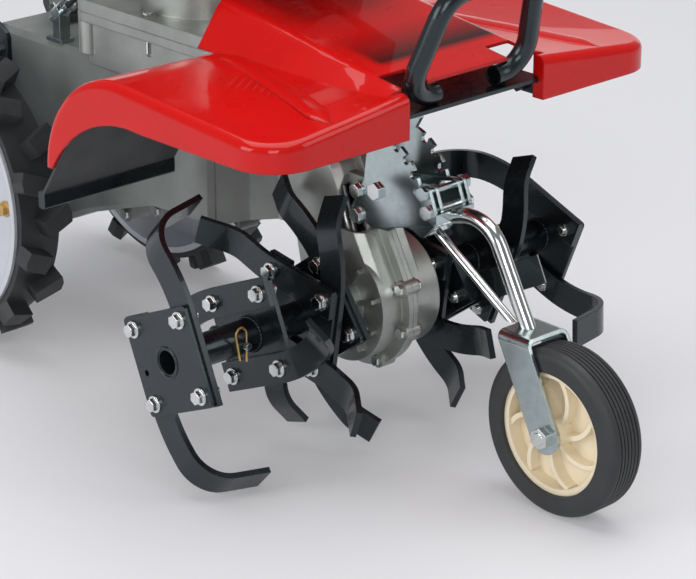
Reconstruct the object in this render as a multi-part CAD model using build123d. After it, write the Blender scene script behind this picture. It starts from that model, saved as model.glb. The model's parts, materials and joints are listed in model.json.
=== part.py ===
from build123d import *
import os
from math import atan2, cos, degrees, hypot, pi, radians, sin, sqrt, tan

# Lengths are in millimetres. X points forward, Y to the machine's left, Z up, and the floor is at Z = 0.
# Pieces are placed from the tine axle and moved to the middle of the whole length when they are written.

# Stance
tine_axle_height = 142.0
drive_tyre_radius = 171.0
wheel_axle_behind = 490.0
nose_tyre_radius = 84.0
nose_axle_ahead = 276.0

# Clearances
running_clearance = 0.05
sliding_clearance = 0.4
face_gap = 0.3

# Tine rotor
rotor_half_width = 259.0
rotor_radius = 147.0
shaft_radius = 12.0
shaft_past_pin = 20.0
hub_tube_wall = 4.5
flange_side = 100.0
flange_thickness = 5.0
flange_corner = 4.0
bolt_square = 75.0
inner_flange_face = 154.0
centre_flange_face = 93.0
third_flange_face = 70.0
outer_hub_inner_end = 132.0
centre_hub_outer_end = 128.0
centre_hub_inner_end = 49.0
right_phase = 23.5
centre_phase = -9.0
third_phase = 36.0
left_turn = 45.0
blade_width = 30.0
blade_thickness = 6.0
blade_root_past_bolt = 13.0
blade_sweep_radius = 150.0
blade_bend_radius = 34.0
blade_straight_tip = 70.0
# Tine forms: sweep angle, start of the bend, bend angle and straight length past the bend
outer_tine_form = (-24.0, 94.0, 80.0, 40.0)
inner_tine_form = (-40.0, 84.0, 40.0, 16.0)
leading_tine_form = (10.0, 80.0, 36.0, 30.0)
middle_tine_form = (-26.0, 92.0, 36.0, 21.0)
trailing_tine_form = (-24.0, 100.0, 24.0, 19.0)
hub_pin_radius = 4.0
hub_pin_past_flange = 23.0
hub_pin_turn = -90.0
hub_pin_reach = 9.0
hub_pin_head = 3.0
clip_wire_radius = 1.25
clip_loop = 7.0
clip_leg = 16.0
spare_hole_radius = 3.2

# Fasteners
bolt_radius = 4.0
bolt_flange_radius = 8.6
bolt_flange_height = 2.0
bolt_hex_flats = 12.0
bolt_head_height = 6.0
nut_height = 7.0
bolt_end = 3.0
pin_head_radius = 6.5
pin_head_height = 5.0
seam_head_radius = 5.5
case_head_radius = 5.0
base_head_share = 2.2
block_bolt_length = 40.0

# Bevel gears in the tine case
gear_teeth = 24
pinion_teeth = 12
gear_pitch_radius = 48.0
gear_face_share = 0.68
gear_back = 7.0
tooth_addendum = 2.6
tooth_dedendum = 4.2
tooth_sink = 0.4
tooth_share = 0.36
tooth_flank_angle = 22.0
pinion_shaft_radius = 9.0
pinion_shaft_length = 92.0
pinion_shaft_start = 4.0

# Tine case
case_wall = 5.0
case_low_radius = 61.0
case_top_radius = 42.0
case_top_behind = 45.0
case_top_above = 120.0
case_flange_width = 11.0
case_flange_half = 6.0
case_right_depth = 32.0
case_left_depth = 33.0
gear_dish_depth = 47.0
bearing_boss_radius = 32.0
bearing_boss_end = 47.5
bearing_radius = 21.0
bearing_width = 12.0
case_bolt_radius = 3.0
case_boss_radius = 8.5
case_boss_half = 9.0
case_bolt_angles = (-160, -115, -65, -18, 22)
case_pad_behind = 95.0
case_pad_below = 56.0
case_pad_above = 38.0
lug_front = 22.0
lug_below_pivot = 46.0
lug_above_pivot = 8.0
lug_step_back = 4.0

# Transmission case
trans_wall = 6.0
trans_half_width = 62.0
trans_neck_half = 31.0
trans_neck_start = 165.0
trans_taper_end = 139.0
trans_edge = 6.0
trans_neck_flare = 13.5
trans_nose_drop = 7.0
trans_rear_drop = 38.0
trans_depth_front = 143.0
trans_step_behind = 267.0
trans_step_depth = 148.0
trans_belly_behind = 302.0
trans_belly_depth = 159.0
trans_heel_behind = 376.0
trans_heel_depth = 184.0
trans_axle_radius = 72.0
trans_deck_height = 329.0
trans_deck_front = 200.0
trans_deck_rear = 524.0
axle_tube_radius = 34.0
axle_tube_end = 112.0
axle_radius = 12.5
axle_bore_gap = 2.0
seam_boss_radius = 9.0
seam_boss_half = 14.0
seam_bolt_below = 12.5
seam_bolts_behind = (185.0, 240.0, 312.0, 366.0)
side_plug_behind = 300.0
side_plug_below = 115.0
deck_plug_behind = 400.0
deck_plug_aside = 24.0
base_bolts_behind = 517.0
base_bolt_drops = (29.0, 61.0)
shift_behind = 480.0
shift_pin_above = 17.0
shift_half = 9.0
shift_ear_half = 13.0
shift_ear_thickness = 4.0

# Drive wheels
wheel_outer_plane = 182.0
tyre_width = 58.0
rim_radius = 142.0
rim_wall = 3.0
rim_lip = 4.0
disc_thickness = 3.0
disc_setback = 9.0
disc_rib_radius = 81.0
disc_rib_half = 3.0
disc_rib_height = 4.0
wheel_boss_gap = 4.0
wheel_boss_out = 6.0
axle_end_out = 12.0
wheel_boss_radius = 26.0
tyre_base_radius = 153.0
lug_count = 12
lug_width = 21.0
lug_reach = 0.6
lug_aside = 0.22
lug_slant = 24.0
lug_sink = 3.0
wheel_bolt_circle = 120.0
wheel_bolt_count = 6
wheel_bolt_phase = 4.0

# Nose wheel
nose_tyre_width = 43.0
nose_rim_radius = 62.0
nose_rim_wall = 6.0
nose_hub_width = 34.0
nose_web = 4.0
nose_boss_radius = 15.0
nose_axle_radius = 6.0
nose_spoke_count = 7
nose_spoke_thickness = 5.0
nose_spoke_inset = 3.0
nose_spoke_turn = 34.0
nose_spoke_mid = 34.0
nose_spoke_bow = 7.0
nose_boss_out = 4.0
nose_tyre_edge = 9.0
nose_groove_count = 6
nose_groove_pitch = 4.6
nose_groove_width = 1.6
nose_groove_depth = 1.5
nose_nut_flats = 19.0
nose_nut_height = 8.0
nose_axle_end = 9.0
fork_strip = 36.0
fork_thickness = 4.0
fork_half_gap = 24.0
fork_lean_back = 46.0
fork_top_height = 174.0
fork_bend = 9.0

# Nose bracket
plate_thickness = 4.0
plate_half_gap = 17.2
pivot_ahead = 39.0
pivot_height = 268.0
tooth_tip_radius = 63.0
notch_depth = 9.0
notch_width = 8.6
notch_pitch = 16.2
lock_angle = 13.2
lock_pin_radius = 3.6
lock_travel = 15.0
notch_count = 4
arm_cheek_thickness = 4.0
arm_front = 84.0
arm_web = 5.0
arm_tube_below = 9.0
arm_tube_radius = 8.0
arm_tube_wall = 2.0
arm_knee_ahead = 172.0
arm_knee_above = 4.0
arm_knee_radius = 42.0
brace_radius = 4.5
brace_eye_radius = 7.0
brace_eye_ahead = 59.0
brace_eye_below = 27.0
brace_foot_back = 19.0
arm_lock_round = 7.0
arm_bolt_round = 9.0
arm_pivot_round = 12.0
arm_front_round = 5.0
arm_front_drop = 5.7
plate_throat_ahead = 22.0
plate_throat_above = 72.0
plate_foot_front = 26.0
plate_foot_rear = 3.0
plate_back_behind = 15.0
plate_back_above = 32.0
plate_waist_behind = 18.0
plate_waist_above = 8.0
plate_heel_behind = 37.0
plate_heel_below = 27.0
plate_toe_behind = 5.0
plate_toe_below = 41.0
plate_chin_ahead = 82.0
plate_chin_below = 15.0
plate_arc_start = 3.0
plate_arc_end = 76.0
plate_bolt_behind = 27.0
plate_bolt_drops = (32.0, 6.0)
plate_bolt_head = 8.0
lower_bolt_reach = 76.5
lower_bolt_angle = -1.0
arm_web_low = -8.0
arm_web_high = -1.0

# Front cover, with heights measured from the roof's crown
cover_wall = 3.0
roof_crown = 404.0
fender_over_rotor = 3.0
fender_inner = 90.0
fender_front = 155.0
fender_rear = 106.0
fender_wall_back = 98.0
skirt_depth = 40.0
skirt_rear = 30.0
skirt_bow_behind = 108.0
skirt_bow_below = 54.0
corner_radius = 46.0
roof_edge_radius = 9.0
tail_inset = 22.0
tail_behind = 179.0
tail_width = 13.0
tail_below = 108.0
roof_bend_behind = 60.0
roof_drop = 16.0
hood_front = 140.0
hood_front_rise = 7.0
hood_rear = 112.0
hood_rear_rise = 42.0
hood_top_half = 88.0
hood_foot_half = 120.0
hood_ridge_radius = 18.0
leg_notch_depth = 30.0
leg_notch_half = 17.0
cover_screw_ahead = 124.0
cover_screw_below = 31.0
screw_head_share = 1.6
frame_thickness = 4.0
frame_below = 23.0
frame_rear = 38.0
frame_front = 148.0
frame_cheek_back = 104.0
guard_radius = 10.0
guard_wall = 2.0
guard_half_foot = 81.0
guard_half_top = 58.0
guard_foot_length = 42.0
guard_foot_ahead = 137.0
guard_top_ahead = 172.0
guard_above = 96.0
guard_bend_radius = 30.0
flap_thickness = 3.0
flap_gap = 2.0
flap_strip_edge = 3.0
flap_strip_depth = 10.0
flap_strip_height = 18.0
flap_strip_overlap = 4.0
flap_strip_ahead = 2.0
flap_top_behind = 118.0
flap_top_below = 42.0
flap_low_behind = 186.0
flap_low_below = 142.0

# Engine, with heights measured from the cylinder's axis
crank_behind = 235.0
cylinder_above_hood = 68.0
sump_front_gap = 110.0
sump_half_width = 82.0
sump_height = 58.0
sump_flange = 9.0
sump_flange_height = 10.0
sump_wall = 5.0
sump_side_wall = 8.0
sump_corner = 16.0
sump_boss_radius = 12.0
plate_corner = 22.0
block_plate_height = 14.0
block_radius = 72.0
block_wall = 10.0
block_above = 52.0
cylinder_radius = 34.0
fin_radius = 48.0
fin_count = 8
fin_pitch = 11.0
fin_thickness = 3.0
head_length = 30.0
head_half_width = 42.0
head_half_height = 40.0
plug_thread_radius = 4.0
plug_thread_length = 20.0
plug_hex_flats = 16.0
plug_hex_height = 9.0
plug_insulator_radius = 6.5
plug_insulator_length = 14.0
plug_tip_radius = 3.0
plug_tip_length = 9.0
crank_radius = 13.0
flywheel_gap = 6.0
flywheel_radius = 88.0
flywheel_height = 22.0
fan_fin_count = 12
fan_fin_height = 14.0
fan_fin_thickness = 3.0
fan_cover_radius = 108.0
fan_cover_overlap = 10.0
fan_cover_above = 126.0
fan_cover_wall = 3.0
fan_edge_radius = 14.0
fan_foot_angles = (60, 120, 240, 300)
fan_foot_half = 9.0
fan_foot_height = 6.0
fan_rim = 14.0
shroud_front = 12.0
shroud_half_width = 66.0
shroud_below = 36.0
plug_window_half_width = 26.0
plug_window_half_height = 30.0
plug_window_depth = 40.0
recoil_radius = 78.0
recoil_height = 26.0
recoil_wall = 4.0
recoil_edge = 9.0
recoil_slot_count = 16
recoil_slot_in = 34.0
recoil_slot_out = 62.0
recoil_slot_width = 5.0
recoil_pull = 120.0
rope_radius = 2.0
rope_height = 12.0
rope_grip_radius = 9.0
rope_grip_half = 34.0
rope_grip_stand_off = 14.0
rope_grip_edge = 4.0
tank_front_gap = 118.0
tank_length = 96.0
tank_half_width = 105.0
tank_below = 44.0
tank_above = 82.0
tank_wall = 3.0
tank_edge = 18.0
tank_strap_aside = 34.0
tank_strap_half = 10.0
tank_strap_height = 20.0
tank_strap_thickness = 8.0
filler_aside = 40.0
filler_height = 14.0
filler_wall = 3.0
cap_radius = 27.0
cap_skirt = 5.0
cap_height = 16.5
cap_notch_count = 18
cap_notch_radius = 2.0
muffler_behind = 10.0
muffler_length = 110.0
muffler_inner = 84.0
muffler_width = 62.0
muffler_below = 36.0
muffler_above = 40.0
muffler_edge = 10.0
muffler_pipe_radius = 12.0
muffler_pipe_ahead = 34.0
muffler_slot_count = 5
muffler_slot_pitch = 18.0
muffler_slot_width = 8.0
muffler_slot_depth = 4.0
cleaner_behind = 70.0
cleaner_length = 120.0
cleaner_inner = 112.0
cleaner_width = 52.0
cleaner_below = 44.0
cleaner_above = 46.0
cleaner_edge = 12.0
cleaner_rib_count = 4
cleaner_rib_pitch = 22.0
cleaner_rib_width = 10.0
cleaner_rib_depth = 2.0
intake_behind = 8.0
intake_radius = 15.0
bowl_half_length = 20.0
bowl_outer = 104.0
bowl_inner = 80.0
bowl_below = 34.0

# Handle
handle_pivot_behind = 590.0
handle_pivot_height = 322.0
handle_tube_radius = 14.0
handle_tube_wall = 2.2
handle_half_high = 235.0
handle_toe_ahead = 16.0
handle_toe_below = 26.0
handle_rise_behind = 56.0
handle_rise_above = 92.0
handle_knee_behind = 800.0
handle_knee_height = 640.0
handle_end_behind = 1024.0
handle_end_height = 900.0
handle_grip_length = 125.0
handle_bend_radius = 60.0
cross_bar_radius = 10.0
cross_bar_share = 0.25
grip_length = 78.0
grip_wall = 4.0
grip_end_wall = 2.0
grip_edge = 3.0
base_plate_thickness = 5.0
base_front = 500.0
base_front_below = 72.0
base_top_behind = 560.0
base_top_above = 34.0
base_rear = 606.0
base_rear_above = 22.0
base_rear_below = 10.0
base_heel_below = 82.0
base_corner = 9.0
base_back_above = 36.0
base_back_below = 96.0
hitch_length = 62.0
hitch_half = 22.0
hitch_height = 26.0
hitch_pin_behind = 40.0
hitch_pin_radius = 8.0
knob_radius = 18.0
knob_height = 12.0
knob_notch_radius = 5.0
knob_notch_count = 6
lever_pin_reach = 15.0
lever_side_gap = 2.0
lever_rod_radius = 4.5
clutch_share = 0.68
clutch_reach = 118.0
clutch_rise = 42.0
clutch_bend_radius = 34.0
clutch_boss_radius = 9.0
throttle_share = 0.42
throttle_boss_radius = 16.0
throttle_reach = 66.0
throttle_low = 2.0
throttle_depth = 12.0
throttle_half = 3.0
throttle_edge = 2.5
shift_rod_radius = 6.0
shift_boss_radius = 10.0
shift_knob_radius = 17.0
shift_lean = 215.0
shift_rise = 300.0
cable_radius = 3.0
adjuster_radius = 5.0
adjuster_half = 18.0
adjuster_height = 33.0
adjuster_behind = 421.0
adjuster_aside = 52.0
adjuster_tilt = 35.0
adjuster_hex_flats = 16.0
adjuster_hex_height = 14.0
post_half_length = 6.0
post_half_width = 7.0
post_foot_front = 10.0
post_foot_rear = 16.0
post_foot_half = 9.0
post_foot_height = 4.0

# Clutch cable: steps from the adjuster, then places along the two straight legs of the right handle tube.
# A place is the share of the leg, then the distance in front of the tube's axis and towards the middle.
cable_lead = 61.0
cable_steps = [
    (44, -36, 86),
    (12, -62, 122),
    (-42, -72, 140),
    (-98, -76, 145),
    (-152, -79, 144),
    (-206, -81, 142),
]
cable_on_low_leg = [(0.400, 24.6, 8), (0.653, 25.5, 8), (0.836, 25.8, 8), (0.991, 26.6, 11)]
cable_on_high_leg = [(0.139, 21.7, -1), (0.315, 21.2, -1), (0.489, 18.4, 8), (0.627, 14.1, 24)]

os.makedirs("parts", exist_ok=True)
centre_x = (nose_axle_ahead + nose_tyre_radius - handle_end_behind) / 2
hub_tube_radius = shaft_radius + hub_tube_wall
hub_pin_y = -inner_flange_face - hub_pin_past_flange
bolt_half = bolt_square / 2
fender_half_width = rotor_half_width + fender_over_rotor
skirt_low = roof_crown - skirt_depth
frame_height = roof_crown - frame_below
hood_front_top = roof_crown + hood_front_rise
hood_rear_top = roof_crown + hood_rear_rise
cover_screw_place = (cover_screw_ahead, roof_crown - cover_screw_below)
handle_half_low = trans_half_width + base_plate_thickness + sliding_clearance + handle_tube_radius


def along_x(radius, x_start, x_end, y, z):
    return Pos((x_start + x_end) / 2, y, z) * Rot(0, 90, 0) * Cylinder(radius, abs(x_end - x_start))


def along_y(radius, y_start, y_end, x, z):
    return Pos(x, (y_start + y_end) / 2, z) * Rot(90, 0, 0) * Cylinder(radius, abs(y_end - y_start))


def along_z(radius, z_start, z_end, x, y):
    return Pos(x, y, (z_start + z_end) / 2) * Cylinder(radius, abs(z_end - z_start))


def block(x_low, x_high, y_low, y_high, z_low, z_high):
    middle = Pos((x_low + x_high) / 2, (y_low + y_high) / 2, (z_low + z_high) / 2)
    return middle * Box(x_high - x_low, y_high - y_low, z_high - z_low)


def side_plate(profile, y_low, y_high):
    return extrude(Plane.XZ.offset(-y_high) * profile, y_high - y_low)


def to_left(shape):
    return mirror(shape, about=Plane.XZ)


def solids_of(*shapes):
    found = []
    for shape in shapes:
        found.extend(shape.solids())
    return Compound(children=found)


def write(name, *shapes):
    group = solids_of(*shapes)
    export_step(Pos(-centre_x, 0, 0) * group, f"parts/{name}.step")


def hex_prism(flats, height):
    return extrude(RegularPolygon(flats / sqrt(3), 6), height)


def flange_bolt(grip):
    head = Pos(0, 0, bolt_flange_height / 2) * Cylinder(bolt_flange_radius, bolt_flange_height)
    head += Pos(0, 0, bolt_flange_height) * hex_prism(bolt_hex_flats, bolt_head_height)
    length = grip + nut_height + bolt_end
    return head + Pos(0, 0, -length / 2) * Cylinder(bolt_radius, length)


def flange_nut(grip):
    outside = Pos(0, 0, -grip - nut_height) * hex_prism(bolt_hex_flats, nut_height)
    return outside - Pos(0, 0, -grip - nut_height / 2) * Cylinder(bolt_radius, nut_height)


def cap_screw(radius, grip, head_share=1.7):
    head = extrude(RegularPolygon(radius * head_share, 6), radius * 1.3)
    return head + Pos(0, 0, -grip / 2) * Cylinder(radius, grip)


def bent_rod(route, bend_radius, section):
    path = FilletPolyline(*route, radius=bend_radius)
    return sweep(Plane(origin=path @ 0, z_dir=path % 0) * section, path=path)


def facing(x, y, z, direction):
    side = (0, 0, 1) if abs(direction[2]) < 0.9 else (1, 0, 0)
    return Plane(origin=(x, y, z), x_dir=side, z_dir=direction).location


# Tines: a flat blank with a swept outline, bent sideways towards its tip
def tine_blank(sweep):
    turn = radians(abs(sweep))
    side = 1 if sweep > 0 else -1
    half = blade_width / 2
    start = -bolt_half - blade_root_past_bolt
    begin = bolt_half
    centre = side * blade_sweep_radius

    def on_arc(offset, angle):
        radius = blade_sweep_radius - side * offset
        return (begin + radius * sin(angle), centre - side * radius * cos(angle))

    reach = (blade_straight_tip * cos(turn), side * blade_straight_tip * sin(turn))
    upper = on_arc(half, turn)
    lower = on_arc(-half, turn)
    upper_tip = (upper[0] + reach[0], upper[1] + reach[1])
    lower_tip = (lower[0] + reach[0], lower[1] + reach[1])
    outline = [
        Line((start, half), (begin, half)),
        ThreePointArc((begin, half), on_arc(half, turn / 2), upper),
        Polyline(upper, upper_tip, lower_tip, lower),
        ThreePointArc(lower, on_arc(-half, turn / 2), (begin, -half)),
        Polyline((begin, -half), (start, -half), (start, half)),
    ]
    return make_face(outline)


def tine_strip(bend_start, bend, tip):
    turn = radians(bend)
    inner = blade_bend_radius
    outer = blade_bend_radius + blade_thickness
    top = (0, blade_bend_radius + blade_thickness)

    def on_arc(radius, angle):
        return (bend_start + radius * sin(angle), top[1] - radius * cos(angle))

    reach = (tip * cos(turn), tip * sin(turn))
    outer_end = on_arc(outer, turn)
    inner_end = on_arc(inner, turn)
    outer_tip = (outer_end[0] + reach[0], outer_end[1] + reach[1])
    inner_tip = (inner_end[0] + reach[0], inner_end[1] + reach[1])
    back = -bolt_square
    outline = [
        Line((back, 0), (bend_start, 0)),
        ThreePointArc((bend_start, 0), on_arc(outer, turn / 2), outer_end),
        Polyline(outer_end, outer_tip, inner_tip, inner_end),
        ThreePointArc(inner_end, on_arc(inner, turn / 2), (bend_start, blade_thickness)),
        Polyline((bend_start, blade_thickness), (back, blade_thickness), (back, 0)),
    ]
    return make_face(outline)


def tine(angle, face, inward, hand, sweep, bend_start, bend, tip):
    turn = radians(sweep) * hand
    bend_plane = Plane(origin=(0, 0, 0), x_dir=(cos(turn), sin(turn), 0), z_dir=(sin(turn), -cos(turn), 0))
    strip = extrude(bend_plane * tine_strip(bend_start, bend, tip), rotor_radius, both=True)
    blank = extrude(tine_blank(sweep * hand), rotor_radius)
    blade = Pos(0, hand * bolt_half, 0) * (strip & blank)
    for along in (-bolt_half, bolt_half):
        blade -= Pos(along, hand * bolt_half, 0) * Cylinder(bolt_radius, 4 * blade_thickness)
    normal = (0, 1 if inward else -1, 0)
    way = (cos(radians(angle)), 0, sin(radians(angle)))
    root = Plane(origin=(0, face, tine_axle_height), x_dir=way, z_dir=normal)
    return root.location * blade


def bolt_places(phase):
    places = []
    for quarter in range(4):
        angle = radians(phase + 45 + 90 * quarter)
        reach = bolt_half * sqrt(2)
        places.append((reach * cos(angle), tine_axle_height + reach * sin(angle)))
    return places


def square_flange(phase, outer_face):
    outline = fillet(Rectangle(flange_side, flange_side).vertices(), flange_corner)
    placed = Pos(0, tine_axle_height) * Rot(0, 0, phase) * outline
    plate = side_plate(placed, -outer_face, flange_thickness - outer_face)
    for x, z in bolt_places(phase):
        plate -= along_y(bolt_radius, -outer_face, flange_thickness - outer_face, x, z)
    return plate


def hub_tube(outer_end, inner_end):
    tube = along_y(hub_tube_radius, -outer_end, -inner_end, 0, tine_axle_height)
    return tube - shaft_hole()


def shaft_hole():
    return along_y(shaft_radius + running_clearance, -2 * rotor_half_width, 0, 0, tine_axle_height)


def hub_pin_hole():
    return turned(along_z(hub_pin_radius, 0, 2 * tine_axle_height, 0, hub_pin_y), hub_pin_turn)


def tine_shaft():
    half = shaft_past_pin - hub_pin_y
    shaft = along_y(shaft_radius, -half, half, 0, tine_axle_height)
    return shaft - hub_pin_hole() - left_rotor(hub_pin_hole())


def outer_hub():
    hub = hub_tube(rotor_half_width, outer_hub_inner_end)
    hub += square_flange(right_phase, rotor_half_width)
    hub += square_flange(right_phase, inner_flange_face)
    spare = radians(right_phase + 190)
    spare_x = bolt_half * cos(spare)
    spare_z = tine_axle_height + bolt_half * sin(spare)
    outside = -rotor_half_width
    spare_hole = along_y(spare_hole_radius, outside, outside + flange_thickness, spare_x, spare_z)
    return hub - shaft_hole() - hub_pin_hole() - spare_hole


def centre_hub():
    hub = hub_tube(centre_hub_outer_end, centre_hub_inner_end)
    hub += square_flange(centre_phase, centre_flange_face)
    hub += square_flange(third_phase, third_flange_face)
    return hub - shaft_hole()


def outer_tines():
    behind_plate = flange_thickness - rotor_half_width
    made = []
    for turn in (0, 180):
        made.append(tine(right_phase + 90 + turn, behind_plate, True, 1, *outer_tine_form))
        made.append(tine(right_phase + turn, -inner_flange_face, False, -1, *inner_tine_form))
    return made


def centre_tines():
    behind_flange = flange_thickness - centre_flange_face
    behind_third = flange_thickness - third_flange_face
    made = []
    for turn in (0, 180):
        made.append(tine(centre_phase + turn, -centre_flange_face, False, -1, *leading_tine_form))
        made.append(tine(centre_phase + 90 + turn, behind_flange, True, 1, *middle_tine_form))
        made.append(tine(third_phase + 90 + turn, behind_third, True, 1, *trailing_tine_form))
    return made


def rotor_fasteners(maker):
    stacks = [
        (right_phase, rotor_half_width, flange_thickness + blade_thickness),
        (right_phase, inner_flange_face + blade_thickness, flange_thickness + blade_thickness),
        (centre_phase, centre_flange_face + blade_thickness, flange_thickness + 2 * blade_thickness),
        (third_phase, third_flange_face, flange_thickness + blade_thickness),
    ]
    made = []
    for phase, face, grip in stacks:
        for x, z in bolt_places(phase):
            made.append(facing(x, -face, z, (0, -1, 0)) * maker(grip))
    return made


def turned(shape, angle):
    return Pos(0, 0, tine_axle_height) * Rot(0, angle, 0) * Pos(0, 0, -tine_axle_height) * shape


def left_rotor(shape):
    return turned(to_left(shape), -left_turn)


def hub_pin():
    reach = hub_tube_radius + hub_pin_reach
    low = tine_axle_height - reach
    high = tine_axle_height + reach
    pin = along_z(hub_pin_radius, low, high, 0, hub_pin_y)
    pin += along_z(hub_pin_radius * 1.7, high, high + hub_pin_head, 0, hub_pin_y)
    pin -= along_x(clip_wire_radius + face_gap, -clip_leg, clip_leg, hub_pin_y, low + hub_pin_reach / 2)
    return turned(pin, hub_pin_turn)


def spring_clip():
    z = tine_axle_height - hub_tube_radius - hub_pin_reach / 2
    route = [
        (-clip_leg, hub_pin_y, z),
        (clip_leg, hub_pin_y, z),
        (clip_leg + clip_loop, hub_pin_y - clip_loop, z),
        (clip_leg, hub_pin_y - 2 * clip_loop, z),
        (-clip_leg * 0.8, hub_pin_y - clip_loop * 1.2, z),
    ]
    return turned(bent_rod(route, clip_loop * 0.7, Circle(clip_wire_radius)), hub_pin_turn)


# Bevel gears with their common apex on the tine axle
def bevel_gear(teeth, pitch_radius, mate_radius, bore, turn):
    slant = hypot(pitch_radius, mate_radius)
    normal = (mate_radius / slant, -pitch_radius / slant)
    pitch = 2 * pi * pitch_radius / teeth
    half_pitch = tooth_share * pitch / 2
    root = tooth_dedendum + tooth_sink
    half_root = half_pitch + root * tan(radians(tooth_flank_angle))
    half_tip = half_pitch - tooth_addendum * tan(radians(tooth_flank_angle))

    def corner(height, half, scale):
        radius = (pitch_radius + height * normal[0]) * scale
        return (radius, half * scale, (mate_radius + height * normal[1]) * scale)

    def end_face(scale):
        corners = [
            corner(-root, -half_root, scale),
            corner(tooth_addendum, -half_tip, scale),
            corner(tooth_addendum, half_tip, scale),
            corner(-root, half_root, scale),
        ]
        return make_face(Polyline(*corners, close=True))

    tooth = loft([end_face(1), end_face(gear_face_share)], ruled=True)
    root_radius = pitch_radius - tooth_dedendum * normal[0]
    root_height = mate_radius - tooth_dedendum * normal[1]
    inner = (root_radius * gear_face_share, root_height * gear_face_share)
    profile = [(bore, inner[1]), inner, (root_radius, root_height), (root_radius, root_height + gear_back)]
    profile.append((bore, root_height + gear_back))
    blank = revolve(make_face(Plane.XZ * Polyline(*profile, close=True)), axis=Axis.Z)
    copies = [Rot(0, 0, turn + 360 * index / teeth) * tooth for index in range(teeth)]
    return blank + copies


case_top_x = -case_top_behind
case_top_z = tine_axle_height + case_top_above
neck_length = hypot(case_top_behind, case_top_above)
neck_way = (-case_top_behind / neck_length, 0, case_top_above / neck_length)
pinion_pitch_radius = gear_pitch_radius * pinion_teeth / gear_teeth
pinion_frame = Plane(origin=(0, 0, tine_axle_height), x_dir=(0, 1, 0), z_dir=neck_way).location
gear_frame = Plane(origin=(0, 0, tine_axle_height), x_dir=neck_way, z_dir=(0, 1, 0)).location


def tine_gear():
    return gear_frame * bevel_gear(gear_teeth, gear_pitch_radius, pinion_pitch_radius, shaft_radius, 0)


def drive_pinion():
    bore = pinion_shaft_radius / 2
    pinion = bevel_gear(pinion_teeth, pinion_pitch_radius, gear_pitch_radius, bore, 180 / pinion_teeth)
    low = gear_pitch_radius * gear_face_share + pinion_shaft_start
    shaft = Pos(0, 0, low + pinion_shaft_length / 2) * Cylinder(pinion_shaft_radius, pinion_shaft_length)
    return pinion_frame * (pinion + shaft)


def capsule(low_radius, top_radius):
    return make_hull(
        [
            (Pos(0, tine_axle_height) * Circle(low_radius)).edge(),
            (Pos(case_top_x, case_top_z) * Circle(top_radius)).edge(),
        ]
    )


def tine_case_half(depth, dish_depth):
    outline = capsule(case_low_radius, case_top_radius)
    room = capsule(case_low_radius - case_wall, case_top_radius - case_wall)
    rim = capsule(case_low_radius + case_flange_width, case_top_radius + case_flange_width)
    z = tine_axle_height
    half = chamfer(side_plate(outline, 0, depth).faces().sort_by(Axis.Y)[-1].edges(), case_wall * 1.5)
    half += side_plate(rim, 0, case_flange_half)
    half += along_y(case_low_radius, 0, dish_depth, 0, z)
    half += along_y(bearing_boss_radius, 0, bearing_boss_end, 0, z)
    half -= side_plate(room, 0, depth - case_wall)
    half -= along_y(case_low_radius - case_wall, 0, dish_depth - case_wall, 0, z)
    half -= along_y(bearing_radius, 0, bearing_boss_end, 0, z)
    bore_length = 2 * (case_top_radius + case_flange_width + 1)
    half -= pinion_frame * Pos(0, 0, case_top_above) * Cylinder(bearing_radius, bore_length)
    for x, z in case_bolt_places():
        half += along_y(case_boss_radius, 0, case_boss_half, x, z)
        half -= along_y(case_bolt_radius, 0, case_boss_half, x, z)
    return half


def case_bolt_places():
    places = []
    reach = case_low_radius + (case_flange_width + 1) / 2
    for angle in case_bolt_angles:
        places.append((reach * cos(radians(angle)), tine_axle_height + reach * sin(radians(angle))))
    return places


def axial_bearing(radius_in, radius_out, width):
    return Cylinder(radius_out, width) - Cylinder(radius_in, width)


def bearings():
    made = []
    tine_y = bearing_boss_end - bearing_width / 2
    wheel_y = axle_tube_end - bearing_width / 2
    for side in (-1, 1):
        ring = Rot(90, 0, 0) * axial_bearing(shaft_radius + running_clearance, bearing_radius, bearing_width)
        made.append(Pos(0, side * tine_y, tine_axle_height) * ring)
        ring = Rot(90, 0, 0) * axial_bearing(axle_radius + running_clearance, bearing_radius, bearing_width)
        made.append(Pos(-wheel_axle_behind, side * wheel_y, drive_tyre_radius) * ring)
    ring = axial_bearing(pinion_shaft_radius + running_clearance, bearing_radius, bearing_width)
    made.append(pinion_frame * Pos(0, 0, case_top_above) * ring)
    return made


# Tine case lug between the nose plates, and the pad that meets the transmission
plate_outer = plate_half_gap + plate_thickness
case_pad_low = case_top_z - case_pad_below
case_pad_high = case_top_z + case_pad_above
lug_low = pivot_height - lug_below_pivot


def case_pad(inset):
    half = trans_neck_half - inset
    return block(-case_pad_behind, case_top_x, 0, half, case_pad_low + inset, case_pad_high - inset)


def tine_case(side):
    depth = case_left_depth if side > 0 else case_right_depth
    dish = gear_dish_depth if side > 0 else case_right_depth
    half = tine_case_half(depth, dish)
    inside = capsule(case_low_radius - case_wall, case_top_radius - case_wall)
    room = side_plate(inside, 0, depth - case_wall)
    half += case_pad(0) - case_pad(case_wall) - room
    half -= case_pad(case_wall)
    lug = block(case_top_x, lug_front, 0, plate_half_gap, lug_low, pivot_height + lug_above_pivot)
    half += lug - room
    outside = 2 * trans_half_width
    above = case_top_z + case_low_radius
    half -= block(-lug_step_back, 2 * lug_front, plate_half_gap, outside, lug_low - 1, above)
    half -= block(lug_front, 3 * lug_front, 0, plate_half_gap, lug_low, above)
    half -= block(-2 * case_pad_behind, -case_pad_behind, 0, outside, 0, 2 * case_pad_high)
    for x, z in plate_bolt_places():
        half -= along_y(bolt_radius, 0, plate_half_gap, x, z)
    return half if side > 0 else to_left(half)


def plate_bolt_places():
    return [(pivot_ahead - plate_bolt_behind, pivot_height - drop) for drop in plate_bolt_drops]


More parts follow.
